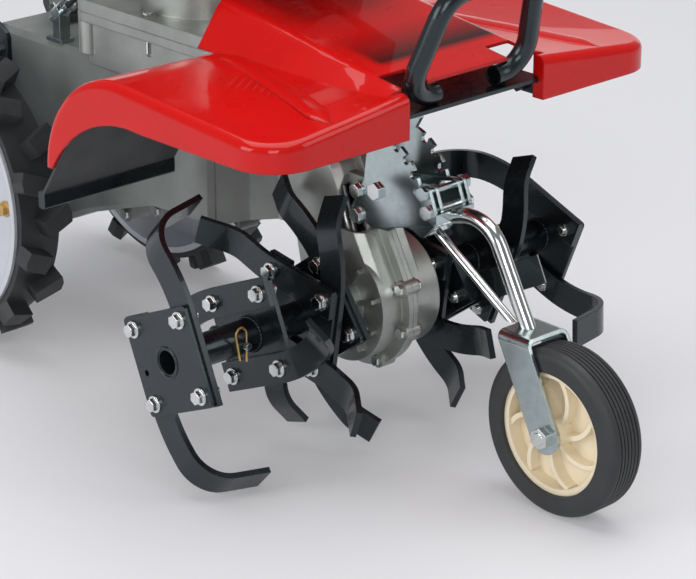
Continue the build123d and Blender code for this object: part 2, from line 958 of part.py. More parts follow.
# Transmission case in two halves that meet on the centre plane
wheel_axle_x = -wheel_axle_behind
trans_rear = wheel_axle_behind + trans_axle_radius
shift_x = -shift_behind
shift_z = trans_deck_height + shift_pin_above
trans_bottom = [
    (-trans_neck_start, trans_deck_height - trans_depth_front),
    (-trans_step_behind, trans_deck_height - trans_step_depth),
    (-trans_belly_behind, trans_deck_height - trans_belly_depth),
    (-trans_heel_behind, trans_deck_height - trans_heel_depth),
]


def trans_outline():
    def on_circle(angle):
        turn = radians(angle)
        z = drive_tyre_radius + trans_axle_radius * sin(turn)
        return (wheel_axle_x + trans_axle_radius * cos(turn), z)

    leave = on_circle(-66)
    rear = on_circle(180)
    outline = [
        Polyline(*trans_bottom, leave),
        ThreePointArc(leave, on_circle(-123), rear),
        Polyline(
            rear,
            (-trans_rear, trans_deck_height - trans_rear_drop),
            (-trans_deck_rear, trans_deck_height),
            (-trans_deck_front, trans_deck_height),
            (-trans_neck_start, trans_deck_height - trans_nose_drop),
            trans_bottom[0],
        ),
    ]
    return make_face(outline)


def neck(inset):
    flare_low = case_pad_low - trans_neck_flare
    flare_high = case_pad_high + trans_neck_flare
    start_high = trans_deck_height - trans_nose_drop
    stations = [
        (-case_pad_behind, trans_neck_half, case_pad_low, case_pad_high),
        (-trans_taper_end, trans_neck_half, flare_low, flare_high),
        (-trans_neck_start - 1, trans_half_width - trans_edge, trans_bottom[0][1], start_high),
    ]
    sections = []
    for x, half, low, high in stations:
        side = half - inset
        corners = [(0, low + inset), (side, low + inset), (side, high - inset), (0, high - inset)]
        face = make_face(Polyline(*corners, close=True))
        sections.append(Plane(origin=(x, 0, 0), x_dir=(0, 1, 0), z_dir=(1, 0, 0)) * face)
    return loft(sections[:2], ruled=True) + loft(sections[1:], ruled=True)


side_plug_place = (-side_plug_behind, trans_deck_height - side_plug_below)
deck_plug_place = (-deck_plug_behind, -deck_plug_aside)
deck_plug_hole = (-deck_plug_behind, deck_plug_aside)


def base_bolt_places():
    return [(-base_bolts_behind, trans_deck_height - drop) for drop in base_bolt_drops]


def bottom_height(x):
    for (x_high, z_high), (x_low, z_low) in zip(trans_bottom, trans_bottom[1:]):
        if x_low <= x <= x_high:
            return z_low + (z_high - z_low) * (x - x_low) / (x_high - x_low)


def seam_bolt_places():
    return [(-behind, bottom_height(-behind) - seam_bolt_below) for behind in seam_bolts_behind]


def trans_half(side):
    outline = trans_outline()
    body = side_plate(outline, 0, trans_half_width)
    body = chamfer(body.faces().sort_by(Axis.Y)[-1].edges(), trans_edge)
    body += neck(0)
    body += along_y(axle_tube_radius, 0, axle_tube_end, wheel_axle_x, drive_tyre_radius)
    for x, z in seam_bolt_places():
        body += along_y(seam_boss_radius, 0, seam_boss_half, x, z)
        x_low = x - seam_boss_radius
        x_high = x + seam_boss_radius
        body += block(x_low, x_high, 0, seam_boss_half, z, z + 2 * seam_boss_radius)
    body -= side_plate(offset(outline, -trans_wall), 0, trans_half_width - trans_wall)
    body -= neck(case_wall)
    body -= along_y(axle_radius + axle_bore_gap, 0, axle_tube_end, wheel_axle_x, drive_tyre_radius)
    bearing_start = axle_tube_end - bearing_width
    body -= along_y(bearing_radius, bearing_start, axle_tube_end, wheel_axle_x, drive_tyre_radius)
    for x, z in seam_bolt_places():
        body -= along_y(case_bolt_radius, 0, seam_boss_half, x, z)
    for x, z in base_bolt_places():
        body -= along_y(case_bolt_radius, trans_half_width - trans_wall, trans_half_width, x, z)
    if side < 0:
        body -= along_y(bolt_radius, trans_half_width - 2 * trans_wall, trans_half_width, *side_plug_place)
        body -= along_z(bolt_radius, trans_deck_height - 2 * trans_wall, trans_deck_height, *deck_plug_hole)
    ear_out = shift_half + shift_ear_thickness
    ear_top = shift_z + shift_ear_half
    ear_rear = shift_x - shift_ear_half
    ear_front = shift_x + shift_ear_half
    ear = block(ear_rear, ear_front, shift_half, ear_out, trans_deck_height - 1, ear_top)
    body += ear - along_y(bolt_radius, 0, ear_out, shift_x, shift_z)
    return body if side > 0 else to_left(body)


# Engine
crank_x = -crank_behind
sump_front = -(crank_behind - sump_front_gap)
sump_rear = -(crank_behind + sump_front_gap)
sump_top = trans_deck_height + sump_height
cylinder_height = hood_rear_top + cylinder_above_hood
block_top = cylinder_height + block_above
head_x = crank_x + block_radius + fin_count * fin_pitch
fan_cover_low = block_top - fan_cover_overlap
fan_cover_top = cylinder_height + fan_cover_above
recoil_low = fan_cover_top - recoil_height
tank_low = cylinder_height - tank_below
tank_high = cylinder_height + tank_above
tank_front = crank_x - tank_front_gap
filler_x = tank_front - tank_length / 2


def upright_edges(shape):
    return shape.edges().filter_by(Axis.Z)


def clear_of_block(shape):
    return shape - along_z(block_radius, 0, 2 * block_top, crank_x, 0)


def sump_plate(low, high):
    half = sump_half_width + sump_flange
    plate = block(sump_rear - sump_flange, sump_front + sump_flange, -half, half, low, high)
    return fillet(upright_edges(plate), plate_corner)


def crankcase():
    half = sump_half_width
    wall = sump_side_wall
    body = block(sump_rear, sump_front, -half, half, trans_deck_height, sump_top)
    body = fillet(upright_edges(body), sump_corner)
    body += sump_plate(sump_top - sump_flange_height, sump_top)
    foot_top = trans_deck_height + sump_flange
    foot_rear = sump_rear - sump_flange
    foot = block(foot_rear, sump_front, -trans_half_width, trans_half_width, trans_deck_height, foot_top)
    body += fillet(upright_edges(foot), sump_corner / 2)
    for x in (sump_rear + wall, sump_front - wall):
        for y in (wall / 2 - half, half - wall / 2):
            body += along_z(sump_boss_radius, trans_deck_height + sump_boss_radius, sump_top, x, y)
    floor = trans_deck_height + sump_wall
    room = block(sump_rear + wall, sump_front - wall, wall - half, half - wall, floor, sump_top)
    body -= fillet(upright_edges(room), sump_corner - wall / 2)
    body -= along_z(crank_radius + running_clearance, trans_deck_height, sump_top, crank_x, 0)
    for x, y in block_bolt_places():
        body -= along_z(case_bolt_radius, sump_top - sump_height / 2, sump_top, x, y)
    return body


def block_bolt_places():
    places = []
    for x in (sump_rear + sump_wall, crank_x, sump_front - sump_wall):
        for y in (-sump_half_width, sump_half_width):
            places.append((x, y))
    return places


def engine_block():
    plate_top = sump_top + block_plate_height
    body = sump_plate(sump_top, plate_top)
    body += along_z(block_radius, plate_top, block_top, crank_x, 0)
    body += along_x(cylinder_radius, crank_x, head_x, 0, cylinder_height)
    for index in range(fin_count):
        x = crank_x + block_radius + fin_pitch * (index + 0.3)
        body += along_x(fin_radius, x, x + fin_thickness, 0, cylinder_height)
    head_low = cylinder_height - head_half_height
    head_high = cylinder_height + head_half_height
    head_end = head_x + head_length
    body += block(head_x - fin_thickness, head_end, -head_half_width, head_half_width, head_low, head_high)
    body -= along_z(block_radius - block_wall, plate_top + block_wall, block_top - block_wall, crank_x, 0)
    body -= along_z(crank_radius + running_clearance, sump_top, block_top, crank_x, 0)
    body -= along_x(plug_thread_radius, head_x - fin_thickness, head_end, 0, cylinder_height)
    for x, y in block_bolt_places():
        body -= along_z(case_bolt_radius, sump_top, plate_top, x, y)
    return body


def crankshaft():
    flywheel_low = block_top + flywheel_gap
    flywheel_top = flywheel_low + flywheel_height
    shaft = along_z(crank_radius, trans_deck_height + 1, flywheel_top, crank_x, 0)
    shaft += along_z(flywheel_radius, flywheel_low, flywheel_top, crank_x, 0)
    half = fan_fin_thickness / 2
    fin = block(flywheel_radius * 0.55, flywheel_radius * 0.95, -half, half, 0, fan_fin_height)
    fins = []
    for index in range(fan_fin_count):
        fins.append(Pos(crank_x, 0, flywheel_top) * Rot(0, 0, 360 / fan_fin_count * index) * fin)
    return shaft + fins


def fan_shape(inset):
    top = recoil_low - inset
    front = -shroud_front - inset
    rear = crank_x + block_radius + fin_thickness
    half = shroud_half_width - inset
    body = along_z(fan_cover_radius - inset, fan_cover_low, top, crank_x, 0)
    body += block(rear, front, -half, half, cylinder_height - shroud_below, top)
    return fillet(body.faces().sort_by(Axis.Z)[-1].edges(), fan_edge_radius - inset)


def fan_cover():
    body = fan_shape(0) - fan_shape(fan_cover_wall)
    body -= along_z(recoil_radius - fan_rim, recoil_low - fan_edge_radius, recoil_low, crank_x, 0)
    foot_top = fan_cover_low + fan_foot_height
    foot_in = block_radius - fan_foot_height
    foot = block(foot_in, fan_cover_radius - 1, -fan_foot_half, fan_foot_half, fan_cover_low, foot_top)
    for angle in fan_foot_angles:
        body += clear_of_block(Pos(crank_x, 0, 0) * Rot(0, 0, angle) * foot)
    low = cylinder_height - plug_window_half_height
    high = cylinder_height + plug_window_half_height
    half = plug_window_half_width
    return body - block(-shroud_front - plug_window_depth, 0, -half, half, low, high)


def recoil_cover():
    body = along_z(recoil_radius, recoil_low, fan_cover_top, crank_x, 0)
    body = fillet(body.faces().sort_by(Axis.Z)[-1].edges(), recoil_edge)
    body -= along_z(recoil_radius - recoil_wall, recoil_low, fan_cover_top - recoil_wall, crank_x, 0)
    half = recoil_slot_width / 2
    low = fan_cover_top - 2 * recoil_wall
    slot = block(recoil_slot_in, recoil_slot_out, -half, half, low, fan_cover_top)
    for index in range(recoil_slot_count):
        body -= Pos(crank_x, 0, 0) * Rot(0, 0, 360 / recoil_slot_count * index) * slot
    rear = crank_x - recoil_radius
    return body - along_x(rope_radius + face_gap, rear, rear + 3 * recoil_wall, 0, recoil_low + rope_height)


def recoil_grip():
    z = recoil_low + rope_height
    face = crank_x - recoil_radius
    grip_x = face - rope_grip_stand_off
    grip = along_y(rope_grip_radius, -rope_grip_half, rope_grip_half, grip_x, z)
    grip = fillet(grip.edges(), rope_grip_edge)
    return grip + along_x(rope_radius, grip_x, face + recoil_pull, 0, z)


def tank_shape(inset):
    half = tank_half_width - inset
    rear = tank_front - tank_length
    shape = block(rear + inset, tank_front - inset, -half, half, tank_low + inset, tank_high - inset)
    return fillet(shape.edges(), tank_edge - inset)


def fuel_tank():
    body = tank_shape(0) - tank_shape(tank_wall)
    neck_radius = cap_radius - cap_skirt
    neck_top = tank_high + filler_height
    body += along_z(neck_radius, tank_high - tank_wall, neck_top, filler_x, filler_aside)
    body -= along_z(neck_radius - filler_wall, tank_high - filler_height, neck_top, filler_x, filler_aside)
    strap_low = tank_low + tank_strap_height
    strap_high = strap_low + tank_strap_thickness
    strap_half = tank_strap_half
    for y in (-tank_strap_aside, tank_strap_aside):
        body += block(tank_front - tank_wall, crank_x, y - strap_half, y + strap_half, strap_low, strap_high)
    return clear_of_block(body)


def fuel_cap():
    low = tank_high + face_gap
    cap = along_z(cap_radius, low, low + cap_height, filler_x, filler_aside)
    hole_radius = cap_radius - cap_skirt + running_clearance
    cap -= along_z(hole_radius, low, low + filler_height, filler_x, filler_aside)
    notch = along_z(cap_notch_radius, low, low + cap_height, cap_radius, 0)
    for index in range(cap_notch_count):
        cap -= Pos(filler_x, filler_aside, 0) * Rot(0, 0, 360 / cap_notch_count * index) * notch
    return cap


def muffler():
    rear = crank_x - muffler_behind
    outer = muffler_inner + muffler_width
    low = cylinder_height - muffler_below
    high = cylinder_height + muffler_above
    body = block(rear, rear + muffler_length, muffler_inner, outer, low, high)
    body = fillet(body.edges(), muffler_edge)
    pipe_start = block_radius / 2
    pipe_x = crank_x + muffler_pipe_ahead
    pipe = along_y(muffler_pipe_radius, pipe_start, muffler_inner + 2, pipe_x, cylinder_height)
    body += clear_of_block(pipe)
    slot_low = low + muffler_edge
    slot_high = high - muffler_edge
    for index in range(muffler_slot_count):
        x = rear + muffler_slot_pitch * (index + 1)
        body -= block(x, x + muffler_slot_width, outer - muffler_slot_depth, outer, slot_low, slot_high)
    return body


def air_cleaner():
    rear = crank_x - cleaner_behind
    outer = -cleaner_inner - cleaner_width
    low = cylinder_height - cleaner_below
    high = cylinder_height + cleaner_above
    body = block(rear, rear + cleaner_length, outer, -cleaner_inner, low, high)
    body = fillet(body.edges(), cleaner_edge)
    slot_low = low + cleaner_edge
    slot_high = high - cleaner_edge
    for index in range(cleaner_rib_count):
        x = rear + cleaner_rib_pitch * (index + 1)
        body -= block(x, x + cleaner_rib_width, outer, outer + cleaner_rib_depth, slot_low, slot_high)
    return body


def carburettor():
    x = crank_x - intake_behind
    body = along_y(intake_radius, -cleaner_inner, -block_radius / 2, x, cylinder_height)
    bowl_low = cylinder_height - bowl_below
    bowl_high = cylinder_height + bowl_half_length
    body += block(x - bowl_half_length, x + bowl_half_length, -bowl_outer, -bowl_inner, bowl_low, bowl_high)
    return clear_of_block(body)


def spark_plug():
    x = head_x + head_length
    plug = along_x(plug_thread_radius, x - plug_thread_length, x, 0, cylinder_height)
    plug += Pos(x, 0, cylinder_height) * Rot(0, 90, 0) * hex_prism(plug_hex_flats, plug_hex_height)
    x += plug_hex_height
    plug += along_x(plug_insulator_radius, x, x + plug_insulator_length, 0, cylinder_height)
    x += plug_insulator_length
    return plug + along_x(plug_tip_radius, x, x + plug_tip_length, 0, cylinder_height)


# Drive wheels
wheel_rim_in = wheel_outer_plane - tyre_width + rim_lip
wheel_rim_out = wheel_outer_plane - rim_lip
disc_face = wheel_outer_plane - disc_setback


def wheel_ring(radius_in, radius_out, y_low, y_high):
    ring = along_y(radius_out, y_low, y_high, wheel_axle_x, drive_tyre_radius)
    return ring - along_y(radius_in, y_low, y_high, wheel_axle_x, drive_tyre_radius)


def wheel_bolt_places():
    places = []
    for index in range(wheel_bolt_count):
        angle = radians(wheel_bolt_phase + 360 * index / wheel_bolt_count)
        x = wheel_axle_x + wheel_bolt_circle * cos(angle)
        places.append((x, drive_tyre_radius + wheel_bolt_circle * sin(angle)))
    return places


def wheel_disc():
    inner = rim_radius - rim_wall
    wheel = wheel_ring(inner, rim_radius, wheel_rim_in - rim_lip, wheel_outer_plane)
    wheel += wheel_ring(inner, rim_radius + rim_lip, wheel_rim_in - rim_lip, wheel_rim_in)
    wheel += wheel_ring(inner, rim_radius + rim_lip, wheel_rim_out, wheel_outer_plane)
    wheel += along_y(inner + 1, disc_face - disc_thickness, disc_face, wheel_axle_x, drive_tyre_radius)
    rib_in = disc_rib_radius - disc_rib_half
    rib_out = disc_rib_radius + disc_rib_half
    wheel += wheel_ring(rib_in, rib_out, disc_face - disc_thickness, disc_face + disc_rib_height)
    boss_start = axle_tube_end + wheel_boss_gap
    boss_end = disc_face + wheel_boss_out
    wheel += along_y(wheel_boss_radius, boss_start, boss_end, wheel_axle_x, drive_tyre_radius)
    bore = axle_radius + running_clearance
    wheel -= along_y(bore, 0, 2 * wheel_outer_plane, wheel_axle_x, drive_tyre_radius)
    for x, z in wheel_bolt_places():
        wheel -= along_y(bolt_radius, disc_face - disc_thickness, disc_face, x, z)
    return wheel


def drive_tyre():
    middle = (wheel_rim_in + wheel_rim_out) / 2
    tyre = wheel_ring(rim_radius, tyre_base_radius, wheel_rim_in, wheel_rim_out)
    lugs = []
    for index in range(2 * lug_count):
        side = 1 if index % 2 else -1
        depth = drive_tyre_radius - tyre_base_radius + 2 * lug_sink
        lug = Rot(0, 0, side * lug_slant) * Box(lug_width, tyre_width * lug_reach, depth)
        lug = Pos(0, side * tyre_width * lug_aside, tyre_base_radius - lug_sink + depth / 2) * lug
        lugs.append(Pos(wheel_axle_x, middle, drive_tyre_radius) * Rot(0, 180 / lug_count * index, 0) * lug)
    band_in = tyre_base_radius - lug_sink / 2
    band = wheel_ring(band_in, drive_tyre_radius, wheel_rim_in - rim_lip, wheel_outer_plane)
    return tyre + [lug & band for lug in lugs]


def wheel_axle():
    half = disc_face + axle_end_out
    return along_y(axle_radius, -half, half, wheel_axle_x, drive_tyre_radius)


# Nose wheel and its fork
nose_z = nose_tyre_radius


def on_nose_axle(radius, y_low, y_high):
    return along_y(radius, y_low, y_high, nose_axle_ahead, nose_z)


def nose_hub():
    inner = nose_rim_radius - nose_rim_wall
    half = nose_hub_width / 2
    boss_half = half + nose_boss_out
    hub = on_nose_axle(nose_rim_radius, -half, half) - on_nose_axle(inner, -half, half)
    hub += on_nose_axle(inner + 1, -nose_web / 2, nose_web / 2)
    hub += on_nose_axle(nose_boss_radius, -boss_half, boss_half)
    turn = radians(nose_spoke_turn)
    start = (nose_boss_radius - 2, 0)
    middle = (nose_spoke_mid, nose_spoke_bow)
    finish = ((inner + 1) * cos(turn), (inner + 1) * sin(turn))
    spoke = trace(ThreePointArc(start, middle, finish), nose_spoke_thickness)
    for index in range(nose_spoke_count):
        placed = Pos(nose_axle_ahead, nose_z) * Rot(0, 0, 360 * index / nose_spoke_count) * spoke
        hub += side_plate(placed, nose_spoke_inset - half, half - nose_spoke_inset)
    return hub - on_nose_axle(nose_axle_radius + running_clearance, -boss_half, boss_half)


def nose_tyre():
    depth = nose_tyre_radius - nose_rim_radius
    section = Pos(nose_rim_radius + depth / 2, 0) * Rectangle(depth, nose_tyre_width)
    section = fillet(section.vertices().group_by(Axis.X)[-1], nose_tyre_edge)
    groove = Rectangle(2 * nose_groove_depth, nose_groove_width)
    for index in range(nose_groove_count):
        aside = (index - (nose_groove_count - 1) / 2) * nose_groove_pitch
        section -= Pos(nose_tyre_radius, aside) * groove
    tyre = revolve(Plane.XZ * section, axis=Axis.Z)
    return Pos(nose_axle_ahead, 0, nose_z) * Rot(90, 0, 0) * tyre


def fork_channel(half_width, top, bend):
    low = nose_z - fork_strip
    channel = block(0, 2 * nose_axle_ahead, -half_width, half_width, low, top)
    return fillet(channel.edges().filter_by(Axis.X).sort_by(Axis.Z)[-2:], bend)


def nose_fork():
    top_x = nose_axle_ahead - fork_lean_back
    half = fork_strip / 2
    leg = make_hull(
        [
            (Pos(nose_axle_ahead, nose_z) * Circle(half)).edge(),
            (Pos(top_x, fork_top_height) * Circle(half)).edge(),
        ]
    )
    outside = fork_half_gap + fork_thickness
    crown_low = fork_top_height - fork_thickness
    strap = fork_channel(outside, fork_top_height, fork_bend)
    strap -= fork_channel(fork_half_gap, crown_low, fork_bend - fork_thickness)
    fork = side_plate(leg, -outside, outside) & strap
    return fork - on_nose_axle(nose_axle_radius, -outside, outside)


def nose_axle():
    outside = fork_half_gap + fork_thickness
    axle = on_nose_axle(nose_axle_radius, -outside - nose_axle_end, outside + 2)
    for side in (-1, 1):
        spot = facing(nose_axle_ahead, side * outside, nose_z, (0, side, 0))
        axle += spot * hex_prism(nose_nut_flats, nose_nut_height)
    return axle


# Nose bracket: notched plates, swinging arm and the lock pin that drops into the notches
def from_pivot(radius, angle):
    return (pivot_ahead + radius * cos(radians(angle)), pivot_height + radius * sin(radians(angle)))


def plate_outline():
    first = from_pivot(tooth_tip_radius, plate_arc_start)
    middle = from_pivot(tooth_tip_radius, (plate_arc_start + plate_arc_end) / 2)
    last = from_pivot(tooth_tip_radius, plate_arc_end)
    back = [
        last,
        (pivot_ahead + plate_throat_ahead, pivot_height + plate_throat_above),
        (pivot_ahead + plate_foot_front, frame_height),
        (pivot_ahead + plate_foot_rear, frame_height),
        (pivot_ahead - plate_back_behind, pivot_height + plate_back_above),
        (pivot_ahead - plate_waist_behind, pivot_height + plate_waist_above),
        (pivot_ahead - plate_heel_behind, pivot_height - plate_heel_below),
        (pivot_ahead - plate_toe_behind, pivot_height - plate_toe_below),
        (pivot_ahead + plate_chin_ahead, pivot_height - plate_chin_below),
        first,
    ]
    return make_face([ThreePointArc(first, middle, last), Polyline(*back)])


def nose_plate():
    outline = plate_outline()
    bottom = tooth_tip_radius - notch_depth + notch_width / 2
    for index in range(notch_count):
        angle = lock_angle + notch_pitch * index
        outline -= Pos(*from_pivot(bottom, angle)) * Circle(notch_width / 2)
        mouth = Rot(0, 0, angle) * Rectangle(2 * notch_depth, notch_width - 1)
        outline -= Pos(*from_pivot(bottom + notch_depth, angle)) * mouth
    plate = side_plate(outline, plate_half_gap, plate_outer)
    plate -= along_y(pivot_radius, plate_half_gap, plate_outer, pivot_ahead, pivot_height)
    for x, z in plate_bolt_places():
        plate -= along_y(bolt_radius, plate_half_gap, plate_outer, x, z)
    return plate


pivot_radius = bolt_radius + 1
lock_rest = tooth_tip_radius - notch_depth + notch_width / 2 + lock_travel
lower_bolt = from_pivot(lower_bolt_reach, lower_bolt_angle)
brace_eye = (pivot_ahead + brace_eye_ahead, pivot_height - brace_eye_below)
arm_inner = plate_half_gap - sliding_clearance
arm_outer = plate_outer + sliding_clearance
arm_half = arm_outer + arm_cheek_thickness
web_front = from_pivot(arm_front, arm_web_low)[0] + arm_web


def arm_cheek(y_low, y_high, with_pivot):
    front = (web_front - arm_web / 2 - arm_front_round, lower_bolt[1] - arm_front_drop)
    places = [(from_pivot(lock_rest, lock_angle), arm_lock_round), (lower_bolt, arm_bolt_round)]
    places.append((front, arm_front_round))
    if with_pivot:
        places.append(((pivot_ahead, pivot_height), arm_pivot_round))
        places.append((brace_eye, brace_eye_radius))
    rounds = [(Pos(*place) * Circle(radius)).edge() for place, radius in places]
    return side_plate(make_hull(rounds), y_low, y_high)


def nose_arm():
    arm = arm_cheek(arm_inner - arm_cheek_thickness, arm_inner, True) + arm_cheek(arm_outer, arm_half, False)
    arm += to_left(arm)
    low = from_pivot(arm_front, arm_web_low)[1]
    high = from_pivot(arm_front, arm_web_high)[1]
    arm += block(web_front - arm_web, web_front, -arm_half, arm_half, low, high)
    arm -= along_y(pivot_radius + running_clearance, -arm_half, arm_half, pivot_ahead, pivot_height)
    arm -= along_y(bolt_radius, -arm_half, arm_half, *lower_bolt)
    x, z = from_pivot(lock_rest - lock_travel / 2, lock_angle)
    slot = SlotCenterToCenter(lock_travel, 2 * (lock_pin_radius + running_clearance))
    return arm - side_plate(Pos(x, z) * Rot(0, 0, lock_angle) * slot, -arm_half, arm_half)


def below_fork_top():
    return block(0, 2 * nose_axle_ahead, -fork_strip, fork_strip, 0, fork_top_height)


def nose_tube():
    route = [
        (web_front - arm_web, 0, pivot_height - arm_tube_below),
        (arm_knee_ahead, 0, pivot_height + arm_knee_above),
        (nose_axle_ahead - fork_lean_back, 0, fork_top_height - arm_tube_radius),
    ]
    section = Circle(arm_tube_radius) - Circle(arm_tube_radius - arm_tube_wall)
    tube = bent_rod(route, arm_knee_radius, section) - below_fork_top()
    return tube - block(0, web_front, -arm_half, arm_half, 0, 2 * pivot_height)


def nose_brace():
    start = (brace_eye[0], 0, brace_eye[1])
    finish = (nose_axle_ahead - fork_lean_back - brace_foot_back, 0, fork_top_height - fork_thickness)
    path = Line(start, finish)
    rod = sweep(Plane(origin=start, z_dir=path % 0) * Circle(brace_radius), path=path)
    inner = arm_inner - arm_cheek_thickness
    rod += along_y(brace_eye_radius, -inner, inner, *brace_eye)
    return rod - below_fork_top()


def pin_through(x, z, radius, half, head_radius):
    pin = along_y(radius, -half, half, x, z)
    for side in (-1, 1):
        pin += facing(x, side * half, z, (0, side, 0)) * hex_prism(2 * head_radius, pin_head_height)
    return pin


def lock_pin():
    x, z = from_pivot(lock_rest, lock_angle)
    return pin_through(x, z, lock_pin_radius, arm_half + face_gap, pin_head_radius)


def plate_bolts():
    made = [pin_through(pivot_ahead, pivot_height, pivot_radius, plate_outer, plate_bolt_head)]
    for x, z in plate_bolt_places():
        made.append(pin_through(x, z, bolt_radius, plate_outer, pin_head_radius))
    return made


# Front cover: hood and both fenders in one moulding
def fender_outline(inset, drop):
    low = skirt_low if inset == 0 else 0
    front = (fender_front - inset, roof_crown - drop - inset)
    bend = (-roof_bend_behind, roof_crown - inset)
    tail = (inset - tail_behind, roof_crown - tail_below)
    along_roof = (bend[0] - front[0], bend[1] - front[1])
    edges = [Polyline((front[0], low), front, bend), TangentArc(bend, tail, tangent=along_roof)]
    if inset:
        edges.append(Polyline(tail, (tail[0], low), (front[0], low)))
    else:
        under = (tail_width - tail_behind, roof_crown - tail_below)
        bow = (-skirt_bow_behind, roof_crown - skirt_bow_below)
        edges.append(Line(tail, under))
        edges.append(ThreePointArc(under, bow, (-skirt_rear, skirt_low)))
        edges.append(Line((-skirt_rear, skirt_low), (front[0], low)))
    return make_face(edges)


def rounded_fender(inset):
    side = fender_half_width - inset
    per_width = roof_drop / (fender_half_width - hood_foot_half)
    sections = []
    for y in (fender_inner, side):
        outline = fender_outline(inset, per_width * (y - hood_foot_half))
        sections.append(Plane.XZ.offset(-y) * outline)
    body = loft(sections, ruled=True)
    corner = body.edges().filter_by(Axis.Z).group_by(Axis.X)[-1].sort_by(Axis.Y)[-1]
    body = fillet(corner, corner_radius - inset)
    rim = []
    for edge in body.edges():
        middle = edge @ 0.5
        on_side = middle.Y > side - corner_radius and middle.Z > skirt_low + roof_edge_radius / 2
        on_front = middle.X > fender_front - inset - 1 and middle.Z > (skirt_low + roof_crown) / 2
        if (on_side or on_front) and abs((edge % 0.5).Z) < 0.99 and edge.length > roof_edge_radius:
            rim.append(edge)
    return fillet(rim, roof_edge_radius - inset)


def fender():
    outside = rounded_fender(0)
    shell = outside - rounded_fender(cover_wall)
    inner = fender_half_width - tail_inset
    shell -= block(-2 * tail_behind, -fender_rear, fender_inner, inner, 0, 2 * roof_crown)
    wall_side = fender_inner + cover_wall
    wall = block(fender_wall_back, fender_front, fender_inner, wall_side, skirt_low, 2 * roof_crown)
    slot_rear = frame_cheek_back - face_gap
    slot_front = frame_front + face_gap
    slot_low = frame_height - face_gap
    slot_high = frame_height + frame_thickness + face_gap
    wall -= block(slot_rear, slot_front, fender_inner, wall_side, slot_low, slot_high)
    return shell + (wall & outside)


def hood_section(x, top, inset):
    half_top = hood_top_half - inset
    half_low = hood_foot_half - inset
    foot = roof_crown - cover_wall
    points = [(-half_low, foot), (-half_top, top - inset), (half_top, top - inset), (half_low, foot)]
    if inset:
        points += [(half_low, 0), (-half_low, 0)]
    frame = Plane(origin=(x, 0, 0), x_dir=(0, 1, 0), z_dir=(1, 0, 0))
    return make_face(frame * Polyline(*points, close=True))


def hood_solid(inset):
    front = hood_section(hood_front + 1, hood_front_top, inset)
    rear = hood_section(-hood_rear, hood_rear_top, inset)
    body = loft([front, rear], ruled=True)
    ridge = []
    for edge in body.edges():
        if abs((edge % 0.5).X) > 0.9 and (edge @ 0.5).Z > hood_front_top - inset:
            ridge.append(edge)
    return fillet(ridge, hood_ridge_radius - inset)


def front_cover():
    fenders = fender() + to_left(fender())
    room = hood_solid(cover_wall)
    cover = (fenders - room) + (hood_solid(0) - room)
    notch_rear = hood_front - leg_notch_depth
    notch_low = roof_crown - leg_notch_depth
    for side in (-1, 1):
        y = side * (guard_half_foot - guard_radius)
        y_low = y - leg_notch_half
        y_high = y + leg_notch_half
        cover -= block(notch_rear, fender_front + 5, y_low, y_high, notch_low, 2 * roof_crown)
        wall = side * fender_inner
        cover -= along_y(bolt_radius, wall - 2 * cover_wall, wall + 2 * cover_wall, *cover_screw_place)
    return cover


def front_frame():
    top = frame_height + frame_thickness
    cheek_in = fender_inner + cover_wall
    cheek_out = cheek_in + frame_thickness
    side = fender_inner - face_gap
    frame = block(frame_rear, frame_front, -side, side, frame_height, top)
    frame += block(frame_cheek_back, frame_front, -cheek_out, cheek_out, frame_height, top)
    for side in (-1, 1):
        y_low = min(side * cheek_in, side * cheek_out)
        frame += block(frame_cheek_back, frame_front, y_low, y_low + frame_thickness, skirt_low + 2, top)
        frame -= along_y(bolt_radius, y_low, y_low + frame_thickness, *cover_screw_place)
    return frame


def guard_bar():
    z = frame_height + frame_thickness + guard_radius
    top = roof_crown + guard_above
    foot_end = guard_half_foot - guard_foot_length
    route = [
        (guard_foot_ahead, -foot_end, z),
        (guard_foot_ahead, -guard_half_foot, z),
        (guard_top_ahead, -guard_half_top, top),
        (guard_top_ahead, guard_half_top, top),
        (guard_foot_ahead, guard_half_foot, z),
        (guard_foot_ahead, foot_end, z),
    ]
    section = Circle(guard_radius) - Circle(guard_radius - guard_wall)
    return bent_rod(route, guard_bend_radius, section)


def cover_screws():
    made = []
    for side in (-1, 1):
        face = side * fender_inner
        spot = facing(cover_screw_place[0], face, cover_screw_place[1], (0, -side, 0))
        made.append(spot * cap_screw(bolt_radius, frame_thickness + cover_wall, screw_head_share))
    return made


flap_inner = sump_half_width + sump_flange + flap_gap
flap_outer = fender_half_width - cover_wall
flap_drop = flap_low_below - flap_top_below
flap_run = flap_low_behind - flap_top_behind


def rear_flap():
    panel = block(-flap_thickness, 0, flap_inner, flap_outer, -hypot(flap_run, flap_drop), 0)
    tilt = degrees(atan2(flap_run, flap_drop))
    return Pos(-flap_top_behind, 0, roof_crown - flap_top_below) * Rot(0, tilt, 0) * panel


def flap_strip():
    front = flap_strip_ahead - flap_low_behind
    top = roof_crown - flap_low_below + flap_strip_overlap
    strip = block(front - flap_strip_depth, front, flap_inner, flap_outer, top - flap_strip_height, top)
    strip = fillet(strip.edges().filter_by(Axis.Y), flap_strip_edge)
    return strip - rear_flap()


# Handle
pivot_bolt_radius = bolt_radius + 1
handle_side = handle_half_high - handle_tube_radius
lever_y = handle_side - lever_pin_reach / 2
lever_half = lever_pin_reach / 2 - lever_side_gap


def base_plate():
    points = [
        (-base_front, handle_pivot_height - base_front_below),
        (-base_front, handle_pivot_height),
        (-base_top_behind, handle_pivot_height + base_top_above),
        (-base_rear, handle_pivot_height + base_rear_above),
        (-base_rear, handle_pivot_height - base_rear_below),
        (-trans_rear, handle_pivot_height - base_heel_below),
    ]
    outline = make_face(Polyline(*points, close=True))
    outline = fillet(outline.vertices(), base_corner)
    return side_plate(outline, trans_half_width, trans_half_width + base_plate_thickness)


